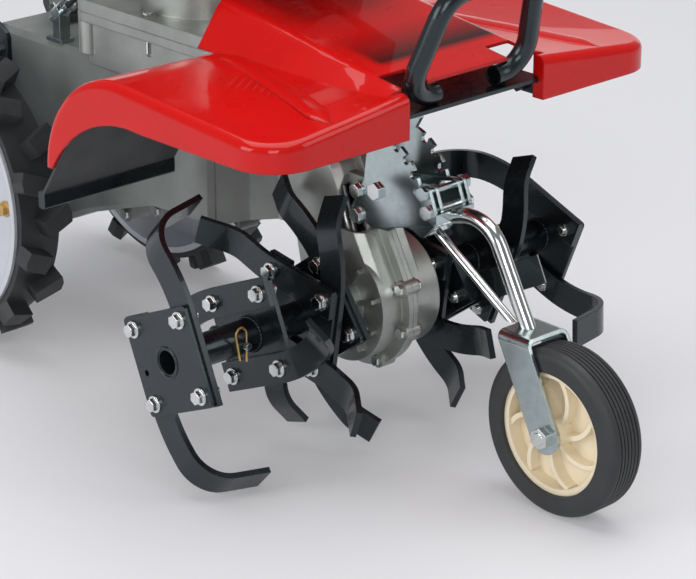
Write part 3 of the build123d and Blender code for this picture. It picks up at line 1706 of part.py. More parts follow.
def handle_base():
    low = handle_pivot_height - base_back_below
    back = handle_pivot_height - base_back_above
    half = trans_half_width
    rear = -trans_rear
    base = base_plate() + to_left(base_plate())
    base += block(rear - base_plate_thickness, rear, -half, half, low, back)
    base += block(rear - hitch_length, rear - 1, -hitch_half, hitch_half, low, low + hitch_height)
    base -= along_z(hitch_pin_radius, low, low + hitch_height, rear - hitch_pin_behind, 0)
    outer = half + base_plate_thickness
    base -= along_y(pivot_bolt_radius, -outer, outer, -handle_pivot_behind, handle_pivot_height)
    for x, z in base_bolt_places():
        base -= along_y(case_bolt_radius, -outer, outer, x, z)
    return base


def handle_route(side):
    low = side * handle_half_low
    high = side * handle_half_high
    return [
        (handle_toe_ahead - handle_pivot_behind, low, handle_pivot_height - handle_toe_below),
        (-handle_pivot_behind - handle_rise_behind, low, handle_pivot_height + handle_rise_above),
        (-handle_knee_behind, high, handle_knee_height),
        (handle_grip_length - handle_end_behind, high, handle_end_height),
        (grip_end_wall - handle_end_behind, high, handle_end_height),
    ]


def on_upper_tube(share):
    low = handle_route(1)[2]
    high = handle_route(1)[3]
    return (low[0] + share * (high[0] - low[0]), low[2] + share * (high[2] - low[2]))


def handle_tubes():
    section = Circle(handle_tube_radius) - Circle(handle_tube_radius - handle_tube_wall)
    tubes = bent_rod(handle_route(-1), handle_bend_radius, section)
    tubes += bent_rod(handle_route(1), handle_bend_radius, section)
    tubes += along_y(cross_bar_radius, -handle_half_high, handle_half_high, *on_upper_tube(cross_bar_share))
    inside = handle_side - lever_pin_reach
    outside = handle_side + handle_tube_wall
    tubes += along_y(bolt_radius, -outside, -inside, *on_upper_tube(clutch_share))
    tubes += along_y(bolt_radius, inside, outside, *on_upper_tube(clutch_share))
    tubes += along_y(bolt_radius, -outside, -inside, *on_upper_tube(throttle_share))
    hole_radius = pivot_bolt_radius + running_clearance
    return tubes - along_y(hole_radius, -handle_side, handle_side, -handle_pivot_behind, handle_pivot_height)


def handle_grip(side):
    end = Vector(*handle_route(side)[-1])
    way = Vector(-1, 0, 0)
    start = end - way * grip_length
    across = Plane(origin=start, z_dir=way)
    rod = extrude(across * Circle(handle_tube_radius + grip_wall), grip_length + grip_end_wall)
    rod = fillet(rod.edges(), grip_edge)
    return rod - extrude(across * Circle(handle_tube_radius), grip_length)


def clutch_lever():
    x, z = on_upper_tube(clutch_share)
    far_x = x - clutch_reach
    far_z = z + clutch_rise
    route = [(x, -lever_y, z), (far_x, -lever_y, far_z), (far_x, lever_y, far_z), (x, lever_y, z)]
    lever = bent_rod(route, clutch_bend_radius, Circle(lever_rod_radius))
    for y in (-lever_y, lever_y):
        lever += along_y(clutch_boss_radius, y - lever_half, y + lever_half, x, z)
    return lever - along_y(bolt_radius + running_clearance, -handle_side, handle_side, x, z)


def throttle_lever():
    x, z = on_upper_tube(throttle_share)
    lever = along_y(throttle_boss_radius, -lever_y - lever_half, lever_half - lever_y, x, z)
    low = z + throttle_low
    y_low = -lever_y - throttle_half
    blade = block(x - throttle_reach, x, y_low, y_low + 2 * throttle_half, low, low + throttle_depth)
    lever += fillet(blade.edges(), throttle_edge)
    return lever - along_y(bolt_radius + running_clearance, -handle_side, 0, x, z)


def shift_lever():
    start = (shift_x, 0, shift_z)
    finish = (shift_x - shift_lean, 0, shift_z + shift_rise)
    path = Line(start, finish)
    lever = sweep(Plane(origin=start, z_dir=path % 0) * Circle(shift_rod_radius), path=path)
    half = shift_half - face_gap
    lever += along_y(shift_boss_radius, -half, half, shift_x, shift_z)
    lever += Pos(*finish) * Sphere(shift_knob_radius)
    return lever - along_y(bolt_radius + running_clearance, -shift_half, shift_half, shift_x, shift_z)


adjuster_place = (-adjuster_behind, -adjuster_aside, trans_deck_height + adjuster_height)


def cable_adjuster():
    x, y, z = adjuster_place
    foot_top = trans_deck_height + post_foot_height
    y_low = y - post_foot_half
    y_high = y + post_foot_half
    post = block(x - post_foot_rear, x + post_foot_front, y_low, y_high, trans_deck_height, foot_top)
    y_low = y - post_half_width
    y_high = y + post_half_width
    post += block(x - post_half_length, x + post_half_length, y_low, y_high, trans_deck_height, z)
    barrel = along_x(adjuster_radius, -adjuster_half, adjuster_half, 0, 0)
    nut = Pos(0, 0, -adjuster_hex_height / 2) * hex_prism(adjuster_hex_flats, adjuster_hex_height)
    barrel += Rot(0, 90, 0) * nut
    return post + Pos(x, y, z) * Rot(0, -adjuster_tilt, 0) * barrel


def beside_leg(leg, places):
    low = Vector(*handle_route(-1)[leg])
    high = Vector(*handle_route(-1)[leg + 1])
    return [low + (high - low) * share + Vector(ahead, inward, 0) for share, ahead, inward in places]


def cable_route():
    start = Vector(*adjuster_place)
    way = Vector(cos(radians(adjuster_tilt)), 0, sin(radians(adjuster_tilt)))
    route = [start + way * (adjuster_half + face_gap), start + way * cable_lead - Vector(0, 1, 0)]
    route += [start + Vector(*step) for step in cable_steps]
    return route + beside_leg(1, cable_on_low_leg) + beside_leg(2, cable_on_high_leg)


def turn_radius(before, corner, after):
    first = corner - before
    second = after - corner
    half_turn = radians(first.get_angle(second)) / 2
    return 0.45 * min(first.length, second.length) / tan(half_turn)


def clutch_cable():
    route = cable_route()
    radii = [turn_radius(*route[index - 1 : index + 2]) for index in range(1, len(route) - 1)]
    return bent_rod(route, radii, Circle(cable_radius))


def case_bolts():
    made = []
    for x, z in seam_bolt_places():
        made.append(pin_through(x, z, case_bolt_radius, seam_boss_half, seam_head_radius))
    for x, z in case_bolt_places():
        made.append(pin_through(x, z, case_bolt_radius, case_boss_half, case_head_radius))
    for x, y in block_bolt_places():
        made.append(Pos(x, y, sump_top + block_plate_height) * cap_screw(case_bolt_radius, block_bolt_length))
    grip = base_plate_thickness + trans_wall
    for x, z in base_bolt_places():
        for side in (-1, 1):
            spot = facing(x, side * (trans_half_width + base_plate_thickness), z, (0, side, 0))
            made.append(spot * cap_screw(case_bolt_radius, grip, base_head_share))
    made.append(pin_through(shift_x, shift_z, bolt_radius, shift_half + shift_ear_thickness, pin_head_radius))
    return made


def oil_plugs():
    side_spot = facing(side_plug_place[0], -trans_half_width, side_plug_place[1], (0, -1, 0))
    side_plug = side_spot * flange_bolt(0)
    deck_plug = Pos(*deck_plug_place, trans_deck_height) * flange_bolt(0)
    return [side_plug, deck_plug]


def handle_bolt(side):
    x = -handle_pivot_behind
    z = handle_pivot_height
    inner = side * trans_half_width
    face = side * (handle_half_low + handle_tube_radius + face_gap)
    end = face + side * knob_height
    bolt = along_y(pivot_bolt_radius, inner, face, x, z) + along_y(knob_radius, face, end, x, z)
    for index in range(knob_notch_count):
        turn = radians(360 / knob_notch_count * index)
        notch_x = x + (knob_radius + 1) * cos(turn)
        notch_z = z + (knob_radius + 1) * sin(turn)
        bolt -= along_y(knob_notch_radius, face, end, notch_x, notch_z)
    return bolt


def wheel_bolts():
    return [facing(x, disc_face, z, (0, 1, 0)) * flange_bolt(disc_thickness) for x, z in wheel_bolt_places()]


write("tine_shaft", tine_shaft())
write("outer_hub_right", outer_hub())
write("outer_hub_left", left_rotor(outer_hub()))
write("centre_hub_right", centre_hub())
write("centre_hub_left", left_rotor(centre_hub()))
right_outer = outer_tines()
right_centre = centre_tines()
write("outer_tines", *right_outer, *[left_rotor(blade) for blade in right_outer])
write("centre_tines", *right_centre, *[left_rotor(blade) for blade in right_centre])
bolts = rotor_fasteners(flange_bolt)
write("tine_bolts", *bolts, *[left_rotor(bolt) for bolt in bolts])
nuts = rotor_fasteners(flange_nut)
write("tine_nuts", *nuts, *[left_rotor(nut) for nut in nuts])
write("hub_pins", hub_pin(), left_rotor(hub_pin()))
write("spring_clips", spring_clip(), left_rotor(spring_clip()))
write("tine_gear", tine_gear())
write("drive_pinion", drive_pinion())
write("tine_case_right", tine_case(-1))
write("tine_case_left", tine_case(1))
write("transmission_case_right", trans_half(-1))
write("transmission_case_left", trans_half(1))
write("bearings", *bearings())
write("wheel_axle", wheel_axle())
write("wheel_discs", wheel_disc(), to_left(wheel_disc()))
write("drive_tyres", drive_tyre(), to_left(drive_tyre()))
write("crankcase", crankcase())
write("engine_block", engine_block())
write("crankshaft", crankshaft())
write("fan_cover", fan_cover())
write("recoil_cover", recoil_cover())
write("recoil_grip", recoil_grip())
write("fuel_tank", fuel_tank())
write("fuel_cap", fuel_cap())
write("muffler", muffler())
write("air_cleaner", air_cleaner())
write("carburettor", carburettor())
write("spark_plug", spark_plug())
write("nose_hub", nose_hub())
write("nose_tyre", nose_tyre())
write("nose_fork", nose_fork())
write("nose_plates", nose_plate(), to_left(nose_plate()))
write("nose_arm", nose_arm())
write("nose_brace", nose_tube(), nose_brace())
write("nose_arm_bolts", nose_axle(), pin_through(*lower_bolt, bolt_radius, arm_half, pin_head_radius))
write("nose_lock_pin", lock_pin())
write("plate_bolts", *plate_bolts())
write("front_cover", front_cover())
write("front_frame", front_frame())
write("guard_bar", guard_bar())
write("cover_screws", *cover_screws())
write("rear_flaps", rear_flap(), to_left(rear_flap()))
write("flap_strips", flap_strip(), to_left(flap_strip()))
write("handle_base", handle_base())
write("handle_tubes", handle_tubes())
write("handle_grips", handle_grip(-1), handle_grip(1))
write("clutch_lever", clutch_lever())
write("throttle_lever", throttle_lever())
write("shift_lever", shift_lever())
write("cable_adjuster", cable_adjuster())
write("clutch_cable", clutch_cable())
write("case_bolts", *case_bolts())
write("oil_plugs", *oil_plugs())
write("handle_bolts", handle_bolt(-1), handle_bolt(1))
write("wheel_bolts", *wheel_bolts(), *[to_left(bolt) for bolt in wheel_bolts()])
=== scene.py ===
import json
import math

import bpy
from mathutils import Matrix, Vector
from mathutils.bvhtree import BVHTree


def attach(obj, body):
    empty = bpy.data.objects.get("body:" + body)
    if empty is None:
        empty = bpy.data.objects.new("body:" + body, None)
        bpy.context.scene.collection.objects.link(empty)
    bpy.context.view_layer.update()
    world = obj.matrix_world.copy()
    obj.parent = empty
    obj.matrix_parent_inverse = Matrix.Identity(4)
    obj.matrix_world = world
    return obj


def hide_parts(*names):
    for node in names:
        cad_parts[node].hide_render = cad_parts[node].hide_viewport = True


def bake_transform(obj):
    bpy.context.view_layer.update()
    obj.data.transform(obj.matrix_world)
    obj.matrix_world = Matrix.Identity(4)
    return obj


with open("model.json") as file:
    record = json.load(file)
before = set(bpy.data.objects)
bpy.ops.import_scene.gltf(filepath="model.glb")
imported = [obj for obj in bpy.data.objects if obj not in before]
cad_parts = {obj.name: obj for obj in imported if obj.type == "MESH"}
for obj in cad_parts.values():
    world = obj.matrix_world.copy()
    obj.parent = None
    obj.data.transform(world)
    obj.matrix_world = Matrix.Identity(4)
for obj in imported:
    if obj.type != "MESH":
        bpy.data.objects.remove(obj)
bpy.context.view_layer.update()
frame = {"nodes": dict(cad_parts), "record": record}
cadNodes = frame["nodes"]
scene = bpy.context.scene
print("stage: frame loaded with", len(cadNodes), "nodes")


# Camera at the photograph's angle.
cameraSettings = {
    "place": (2.19466, -1.76893, 1.15805),
    "heading": (-0.6789, 0.6364, -0.3662),
    "lens": 141.007,
    "reach": 30,
    "image": (696, 579),
}


def makeCamera(settings):
    data = bpy.data.cameras.new("photoCamera")
    data.lens = settings["lens"]
    data.clip_end = settings["reach"]
    camera = bpy.data.objects.new("photoCamera", data)
    scene.collection.objects.link(camera)
    camera.location = settings["place"]
    heading = Vector(settings["heading"])
    camera.rotation_euler = heading.to_track_quat("-Z", "Y").to_euler()
    scene.camera = camera
    scene.render.resolution_x = settings["image"][0]
    scene.render.resolution_y = settings["image"][1]
    scene.view_settings.view_transform = "Standard"
    return camera


makeCamera(cameraSettings)
print("stage: camera set")


# Node building; the mix node's colour sockets are known by number only.
mixSockets = {"factor": 0, "first": 6, "second": 7, "result": 2}


def addNode(tree, kind, settings=None, inputs=None):
    made = tree.nodes.new(kind)
    for key, value in (settings or {}).items():
        setattr(made, key, value)
    for socket, value in (inputs or {}).items():
        if isinstance(value, bpy.types.NodeSocket):
            tree.links.new(value, made.inputs[socket])
        else:
            made.inputs[socket].default_value = value
    return made


def noise(tree, place, scale, detail=4.0, roughness=0.55):
    inputs = {"Vector": place, "Scale": scale, "Detail": detail, "Roughness": roughness}
    return addNode(tree, "ShaderNodeTexNoise", inputs=inputs).outputs["Fac"]


def spread(tree, value, low, high, toLow, toHigh):
    inputs = {"Value": value, "From Min": low, "From Max": high, "To Min": toLow, "To Max": toHigh}
    return addNode(tree, "ShaderNodeMapRange", inputs=inputs).outputs["Result"]


def blendColours(tree, factor, first, second):
    inputs = {mixSockets["factor"]: factor}
    for socket, value in (("first", first), ("second", second)):
        isSocket = isinstance(value, bpy.types.NodeSocket)
        inputs[mixSockets[socket]] = value if isSocket else (*value, 1)
    blended = addNode(tree, "ShaderNodeMix", {"data_type": "RGBA"}, inputs)
    return blended.outputs[mixSockets["result"]]


def maths(tree, operation, first, second):
    inputs = {0: first, 1: second}
    return addNode(tree, "ShaderNodeMath", {"operation": operation}, inputs).outputs[0]


# One finish: mottled colour, edges in a lighter wear colour (rubbed edges, and partly a painted
# highlight along edges that face the light), varied roughness and a fine bump over rounded edges.
finishLimits = {"edgeNone": 0.985, "edgeFull": 0.86, "patchLow": 0.42, "patchHigh": 0.62,
                "noiseLow": 0.3, "noiseHigh": 0.7, "grainDetail": 3.0, "edgeSamples": 4}


def makeFinish(name, settings):
    limits = finishLimits
    low, high = limits["noiseLow"], limits["noiseHigh"]
    material = bpy.data.materials.new(name)
    material.use_nodes = True
    tree = material.node_tree
    shader = tree.nodes["Principled BSDF"]
    place = addNode(tree, "ShaderNodeTexCoord").outputs["Object"]
    rounded = addNode(tree, "ShaderNodeBevel", {"samples": limits["edgeSamples"]},
                      {"Radius": settings["edgeRadius"]})
    flat = addNode(tree, "ShaderNodeNewGeometry").outputs["Normal"]
    facing = addNode(tree, "ShaderNodeVectorMath", {"operation": "DOT_PRODUCT"})
    tree.links.new(rounded.outputs["Normal"], facing.inputs[0])
    tree.links.new(flat, facing.inputs[1])
    edge = spread(tree, facing.outputs["Value"], limits["edgeNone"], limits["edgeFull"], 0.0, 1.0)
    patches = noise(tree, place, settings["wearScale"])
    patches = spread(tree, patches, limits["patchLow"], limits["patchHigh"], 0.0, settings["wear"])
    wornAndHighlitEdges = maths(tree, "MULTIPLY", edge, patches)
    mottle = spread(tree, noise(tree, place, settings["mottleScale"]), low, high, 0.0, 1.0)
    colour = blendColours(tree, mottle, settings["colour"], settings["second"])
    if "tint" in settings:
        colour = settings["tint"](tree, place, colour)
    # Lighter colour on the edges: real rubbing, and partly a painted highlight on edges that face
    # the light.
    colour = blendColours(tree, wornAndHighlitEdges, colour, settings["wearColour"])
    tree.links.new(colour, shader.inputs["Base Color"])
    cloud = noise(tree, place, settings["cloudScale"])
    rough = spread(tree, cloud, low, high, settings["rough"][0], settings["rough"][1])
    tree.links.new(rough, shader.inputs["Roughness"])
    grain = noise(tree, place, settings["grainScale"], limits["grainDetail"])
    bump = addNode(tree, "ShaderNodeBump", inputs={
        "Strength": settings["bump"], "Distance": settings["bumpDepth"], "Height": grain,
        "Normal": rounded.outputs["Normal"]})
    tree.links.new(bump.outputs["Normal"], shader.inputs["Normal"])
    shader.inputs["Metallic"].default_value = settings["metal"]
    shader.inputs["Coat Weight"].default_value = settings["coat"]
    shader.inputs["Coat Roughness"].default_value = settings["coatRough"]
    shader.inputs["Specular IOR Level"].default_value = settings["specular"]
    shader.inputs["Specular Tint"].default_value = (*settings["specularTint"], 1)
    return material


def finish(colour, second, rough, metal=0.0, **changes):
    settings = {
        "colour": colour, "second": second, "rough": rough, "metal": metal,
        "edgeRadius": 0.0012, "wear": 0.25, "wearScale": 90.0, "wearColour": (0.35, 0.35, 0.35),
        "mottleScale": 22.0, "cloudScale": 30.0, "grainScale": 900.0, "bump": 0.08,
        "bumpDepth": 0.0004, "coat": 0.0, "coatRough": 0.05, "specular": 0.5,
        "specularTint": (1.0, 1.0, 1.0),
    }
    settings.update(changes)
    return settings


# A plain dark panel that fades to red along the hood.
hoodPanel = {"front": 0.424, "rear": 0.352, "left": 0.100, "right": -0.067, "soft": 0.006,
             "dark": (0.02, 0.004, 0.004), "low": 0.415}


def darkPanel(tree, place, colour):
    split = addNode(tree, "ShaderNodeSeparateXYZ", inputs={"Vector": place})
    along, across, height = split.outputs
    soft = hoodPanel["soft"]
    front = spread(tree, along, hoodPanel["front"] + soft, hoodPanel["front"] - soft, 0.0, 1.0)
    rear = spread(tree, along, hoodPanel["rear"], hoodPanel["front"] - soft, 0.0, 1.0)
    left = spread(tree, across, hoodPanel["left"] + soft, hoodPanel["left"] - soft, 0.0, 1.0)
    right = spread(tree, across, hoodPanel["right"] - soft, hoodPanel["right"] + soft, 0.0, 1.0)
    above = maths(tree, "GREATER_THAN", height, hoodPanel["low"])
    shade = maths(tree, "MULTIPLY", front, rear)
    for edge in (left, right, above):
        shade = maths(tree, "MULTIPLY", shade, edge)
    return blendColours(tree, shade, colour, hoodPanel["dark"])


finishes = {
    # Black paint: its lighter grey edges also stand in for the lit cut ends of the tines, a
    # painted highlight.
    "blackPaint": finish((0.005, 0.0065, 0.008), (0.008, 0.010, 0.012), (0.22, 0.34), coat=0.3,
                         coatRough=0.05, specular=0.45, specularTint=(0.72, 0.92, 1.0), wear=0.10,
                         wearColour=(0.10, 0.10, 0.10), bump=0.05),
    "brightSteel": finish((0.55, 0.55, 0.55), (0.45, 0.45, 0.46), (0.22, 0.36), 1.0),
    "zincPlate": finish((0.49, 0.56, 0.57), (0.42, 0.49, 0.50), (0.15, 0.25), 1.0,
                        mottleScale=120.0, wearColour=(0.75, 0.77, 0.78), bump=0.05),
    "boltZinc": finish((0.74, 0.76, 0.75), (0.64, 0.66, 0.66), (0.14, 0.24), 1.0,
                       mottleScale=160.0, wearColour=(0.85, 0.86, 0.85), bump=0.04),
    "yellowZinc": finish((0.70, 0.46, 0.16), (0.55, 0.34, 0.13), (0.28, 0.42), 1.0,
                         mottleScale=140.0, wearColour=(0.8, 0.7, 0.5)),
    "chrome": finish((0.70, 0.72, 0.72), (0.64, 0.66, 0.66), (0.11, 0.19), 1.0,
                     bump=0.02, wear=0.05),
    "greyCasting": finish((0.20, 0.217, 0.205), (0.160, 0.174, 0.165), (0.32, 0.46), coat=0.2,
                          coatRough=0.25, grainScale=420.0, bump=0.22, wear=0.3,
                          wearColour=(0.30, 0.32, 0.31), edgeRadius=0.002),
    "bareCasting": finish((0.42, 0.44, 0.415), (0.31, 0.325, 0.305), (0.28, 0.44), 0.7,
                          grainScale=380.0, bump=0.32, wear=0.35, wearColour=(0.6, 0.61, 0.58),
                          edgeRadius=0.002),
    "silverDisc": finish((0.60, 0.62, 0.67), (0.55, 0.57, 0.62), (0.30, 0.42), 0.35,
                         coat=0.3, bump=0.04),
    "tyreRubber": finish((0.021, 0.023, 0.026), (0.030, 0.032, 0.035), (0.44, 0.62),
                         grainScale=700.0, bump=0.20, wear=0.3, wearColour=(0.06, 0.06, 0.062),
                         mottleScale=60.0),
    "gripRubber": finish((0.018, 0.018, 0.019), (0.024, 0.024, 0.025), (0.55, 0.72),
                         bump=0.25, wear=0.2, wearColour=(0.05, 0.05, 0.05)),
    "redGloss": finish((0.57, 0.005, 0.004), (0.53, 0.004, 0.0035), (0.26, 0.34),
                       coat=0.55, coatRough=0.02, specular=0.06, wear=0.08,
                       wearColour=(0.70, 0.08, 0.07), bump=0.015, edgeRadius=0.004,
                       tint=darkPanel),
    "darkPlastic": finish((0.028, 0.031, 0.034), (0.036, 0.039, 0.042), (0.36, 0.50),
                          bump=0.15, wear=0.2, wearColour=(0.07, 0.07, 0.07)),
    "blackScrew": finish((0.014, 0.014, 0.015), (0.02, 0.02, 0.021), (0.3, 0.45), wear=0.3),
    "heatPaint": finish((0.035, 0.034, 0.033), (0.06, 0.05, 0.042), (0.5, 0.68),
                        bump=0.3, wear=0.4, wearColour=(0.14, 0.10, 0.07)),
    "plugShell": finish((0.72, 0.71, 0.66), (0.6, 0.59, 0.55), (0.25, 0.4), 0.7),
    "creamPlastic": finish((0.87, 0.765, 0.57), (0.83, 0.725, 0.53), (0.36, 0.48),
                           bump=0.06, wear=0.15, wearColour=(0.93, 0.87, 0.74)),
}
materials = {name: makeFinish(name, settings) for name, settings in finishes.items()}

slotFinish = {
    "black_steel": "blackPaint", "bare_steel": "brightSteel", "zinc_steel": "zincPlate",
    "yellow_zinc": "yellowZinc", "chromed_tube": "chrome", "painted_casting": "greyCasting",
    "bare_casting": "bareCasting", "silver_disc": "silverDisc", "tyre_rubber": "tyreRubber",
    "grip_rubber": "gripRubber", "red_gloss": "redGloss", "dark_plastic": "darkPlastic",
    "black_screw": "blackScrew", "muffler_steel": "heatPaint", "plug_body": "plugShell",
    "cream_plastic": "creamPlastic",
}
shinyNodes = ("tine_bolts", "tine_nuts", "plate_bolts", "nose_arm_bolts", "case_bolts")
slotOf = {}
for subpart in frame["record"]["subparts"]:
    slotOf[subpart["node"]] = subpart["material_slot"]
for nodeName, nodeObject in cadNodes.items():
    nodeObject.data.materials.clear()
    finishName = "boltZinc" if nodeName in shinyNodes else slotFinish[slotOf[nodeName]]
    nodeObject.data.materials.append(materials[finishName])
print("stage: finishes on the CAD nodes")


# The clutch cable bends between the transmission and the handle.
cableSettings = {
    "route": [
        (-406.0, -52, 372.5), (-371.0, -53, 397.0), (-377, -88, 448), (-409, -114, 484),
        (-463, -124, 502), (-519, -128, 507), (-573, -131, 506), (-627, -133, 504),
        (-683.0, -134.8, 504.4), (-721.1, -173.7, 561.6), (-748.9, -201.8, 602.9),
        (-772.0, -222.6, 638.0), (-792.1, -236, 676.1), (-810.0, -236, 721.9),
        (-830.0, -227, 767.1), (-848.0, -211, 803.0),
    ],
    "shift": 332, "perMetre": 1000, "radius": 0.003, "length": 0.796,
    "bendStart": (-0.20, -0.13, 0.506), "bendEnd": (-0.35, -0.135, 0.506),
}
curveShape = {"steps": 8, "roundSteps": 5, "order": 3}


def routeCurve(name, points, radius):
    curve = bpy.data.curves.new(name, "CURVE")
    curve.dimensions = "3D"
    curve.resolution_u = curveShape["steps"]
    curve.bevel_depth = radius
    curve.bevel_resolution = curveShape["roundSteps"]
    curve.use_fill_caps = radius > 0
    spline = curve.splines.new("NURBS")
    spline.points.add(len(points) - 1)
    for point, place in zip(spline.points, points):
        point.co = (*place, 1)
    spline.order_u = curveShape["order"]
    spline.use_endpoint_u = True
    return bpy.data.objects.new(name, curve)


def makeCable(settings):
    scale = settings["perMetre"]
    points = []
    for x, y, z in settings["route"]:
        points.append(((x + settings["shift"]) / scale, y / scale, z / scale))
    line = routeCurve("cableLine", points, 0)
    tube = routeCurve("cableTube", points, settings["radius"])
    scene.collection.objects.link(line)
    scene.collection.objects.link(tube)
    depsgraph = bpy.context.evaluated_depsgraph_get()
    lineMesh = bpy.data.meshes.new_from_object(line.evaluated_get(depsgraph))
    tubeMesh = bpy.data.meshes.new_from_object(tube.evaluated_get(depsgraph))
    bpy.data.objects.remove(line)
    bpy.data.objects.remove(tube)
    cable = bpy.data.objects.new("clutchCable", tubeMesh)
    scene.collection.objects.link(cable)
    for face in tubeMesh.polygons:
        face.use_smooth = True
    tubeMesh.materials.append(materials["gripRubber"])
    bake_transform(cable)
    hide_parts("clutch_cable")
    return cable


makeCable(cableSettings)
print("stage: cable laid")


# Geometry Nodes: one shape copied on points, turned to the way stored on each point.
shapeNodes = {
    "bead": ("GeometryNodeMeshUVSphere", {"Segments": 12, "Rings": 8, "Radius": 1.0}),
    "disc": ("GeometryNodeMeshCylinder", {"Vertices": 40, "Radius": 1.0, "Depth": 1.0}),
    "hex": ("GeometryNodeMeshCylinder", {"Vertices": 6, "Radius": 1.0, "Depth": 1.0}),
    "bar": ("GeometryNodeMeshCube", {"Size": (1.0, 1.0, 1.0)}),
}
ringShape = {"steps": 48, "wireSteps": 12, "wire": 0.1}


def copiedShape(tree, kind):
    if kind in shapeNodes:
        node, sizes = shapeNodes[kind]
        return addNode(tree, node, inputs=sizes).outputs["Mesh"]
    circle = addNode(tree, "GeometryNodeCurvePrimitiveCircle", inputs={
        "Resolution": ringShape["steps"], "Radius": 1.0})
    wire = addNode(tree, "GeometryNodeCurvePrimitiveCircle", inputs={
        "Resolution": ringShape["wireSteps"], "Radius": ringShape["wire"]})
    ring = addNode(tree, "GeometryNodeCurveToMesh", inputs={
        "Curve": circle.outputs["Curve"], "Profile Curve": wire.outputs["Curve"]})
    return ring.outputs["Mesh"]


def copiesTree(name, settings):
    tree = bpy.data.node_groups.new(name + "Tree", "GeometryNodeTree")
    sockets = tree.interface
    sockets.new_socket("Points", in_out="INPUT", socket_type="NodeSocketGeometry")
    size = sockets.new_socket("Size", in_out="INPUT", socket_type="NodeSocketVector")
    sockets.new_socket("Copies", in_out="OUTPUT", socket_type="NodeSocketGeometry")
    source = addNode(tree, "NodeGroupInput")
    way = addNode(tree, "GeometryNodeInputNamedAttribute", {"data_type": "FLOAT_VECTOR"},
                  {"Name": "way"})
    turn = addNode(tree, "FunctionNodeAlignRotationToVector",
                   {"axis": settings["axis"], "pivot_axis": settings.get("pivot", "AUTO")},
                   {"Vector": way.outputs["Attribute"]})
    copies = addNode(tree, "GeometryNodeInstanceOnPoints", inputs={
        "Points": source.outputs["Points"], "Instance": copiedShape(tree, settings["shape"]),
        "Rotation": turn.outputs["Rotation"], "Scale": source.outputs["Size"]})
    solid = addNode(tree, "GeometryNodeRealizeInstances", inputs={
        "Geometry": copies.outputs["Instances"]})
    smooth = addNode(tree, "GeometryNodeSetShadeSmooth", inputs={
        "Geometry": solid.outputs["Geometry"],
        "Shade Smooth": settings["shape"] in ("bead", "ring")})
    coloured = addNode(tree, "GeometryNodeSetMaterial", inputs={
        "Geometry": smooth.outputs["Geometry"], "Material": materials[settings["finish"]]})
    target = addNode(tree, "NodeGroupOutput")
    tree.links.new(coloured.outputs["Geometry"], target.inputs["Copies"])
    return tree, size.identifier


def bakeTree(name, mesh, tree, inputs):
    holder = bpy.data.objects.new(name + "Points", mesh)
    scene.collection.objects.link(holder)
    modifier = holder.modifiers.new("copies", "NODES")
    modifier.node_group = tree
    for identifier, value in inputs.items():
        modifier[identifier] = value
    depsgraph = bpy.context.evaluated_depsgraph_get()
    baked = bpy.data.meshes.new_from_object(holder.evaluated_get(depsgraph))
    holder.modifiers.clear()
    bpy.data.objects.remove(holder)
    piece = bpy.data.objects.new(name, baked)
    scene.collection.objects.link(piece)
    return piece


def makeCopies(name, settings):
    places = [place for place, way in settings["points"]]
    mesh = bpy.data.meshes.new(name + "Mesh")
    mesh.from_pydata(places, [], [])
    ways = mesh.attributes.new("way", "FLOAT_VECTOR", "POINT")
    for index, (place, way) in enumerate(settings["points"]):
        ways.data[index].vector = way
    tree, size = copiesTree(name, settings)
    piece = bakeTree(name, mesh, tree, {size: settings["size"]})
    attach(piece, settings["body"])
    return piece


def ringPoints(centre, radius, count, phase=0.0):
    points = []
    for index in range(count):
        angle = 2 * math.pi * index / count + phase
        way = (math.cos(angle), 0.0, math.sin(angle))
        place = (centre[0] + radius * way[0], centre[1], centre[2] + radius * way[2])
        points.append((place, way))
    return points


# Weld beads where the hub tubes meet the flanges.
rotorAxle = (0.332, 0.142)
weldSettings = {
    "axle": rotorAxle, "radius": 0.0172, "count": 26, "faces": (0.2535, 0.1545, 0.1485),
    "shape": "bead", "axis": "X", "pivot": "Y", "size": (0.0017, 0.0020, 0.0026),
    "finish": "blackPaint", "body": "rotor", "slot": "black_steel", "points": [],
}
for side in (-1, 1):
    for face in weldSettings["faces"]:
        centre = (weldSettings["axle"][0], side * face, weldSettings["axle"][1])
        weldSettings["points"] += ringPoints(centre, weldSettings["radius"], weldSettings["count"])
makeCopies("weldBeads", weldSettings)

# Rolled rims round the holes in the outer flanges.
rimSettings = {
    "axle": rotorAxle, "aside": 0.259,
    "shape": "ring", "axis": "Z", "size": (0.0148, 0.0148, 0.012),
    "finish": "blackPaint", "body": "rotor", "slot": "black_steel", "points": [],
}
for side in (-1, 1):
    place = (rimSettings["axle"][0], side * rimSettings["aside"], rimSettings["axle"][1])
    rimSettings["points"].append((place, (0.0, 1.0, 0.0)))
makeCopies("flangeRims", rimSettings)

# Washers under the nose plate bolts.
washerSettings = {
    "places": ((0.344, 0.236), (0.344, 0.262)), "aside": 0.0217,
    "shape": "disc", "axis": "Z", "size": (0.0092, 0.0092, 0.0012),
    "finish": "zincPlate", "body": "chassis", "slot": "zinc_steel", "points": [],
}
for side in (-1, 1):
    for along, height in washerSettings["places"]:
        place = (along, side * washerSettings["aside"], height)
        washerSettings["points"].append((place, (0.0, 1.0, 0.0)))
makeCopies("plateWashers", washerSettings)

# Radial ribs on the right face of the tine case.
ribSettings = {
    "axle": rotorAxle, "aside": -0.035, "radius": 0.042, "count": 10, "phase": 0.3,
    "shape": "bar", "axis": "X", "pivot": "Y", "size": (0.024, 0.008, 0.0045),
    "finish": "bareCasting", "body": "chassis", "slot": "bare_casting",
}
ribCentre = (ribSettings["axle"][0], ribSettings["aside"], ribSettings["axle"][1])
ribSettings["points"] = ringPoints(
    ribCentre, ribSettings["radius"], ribSettings["count"], ribSettings["phase"])
makeCopies("caseRibs", ribSettings)

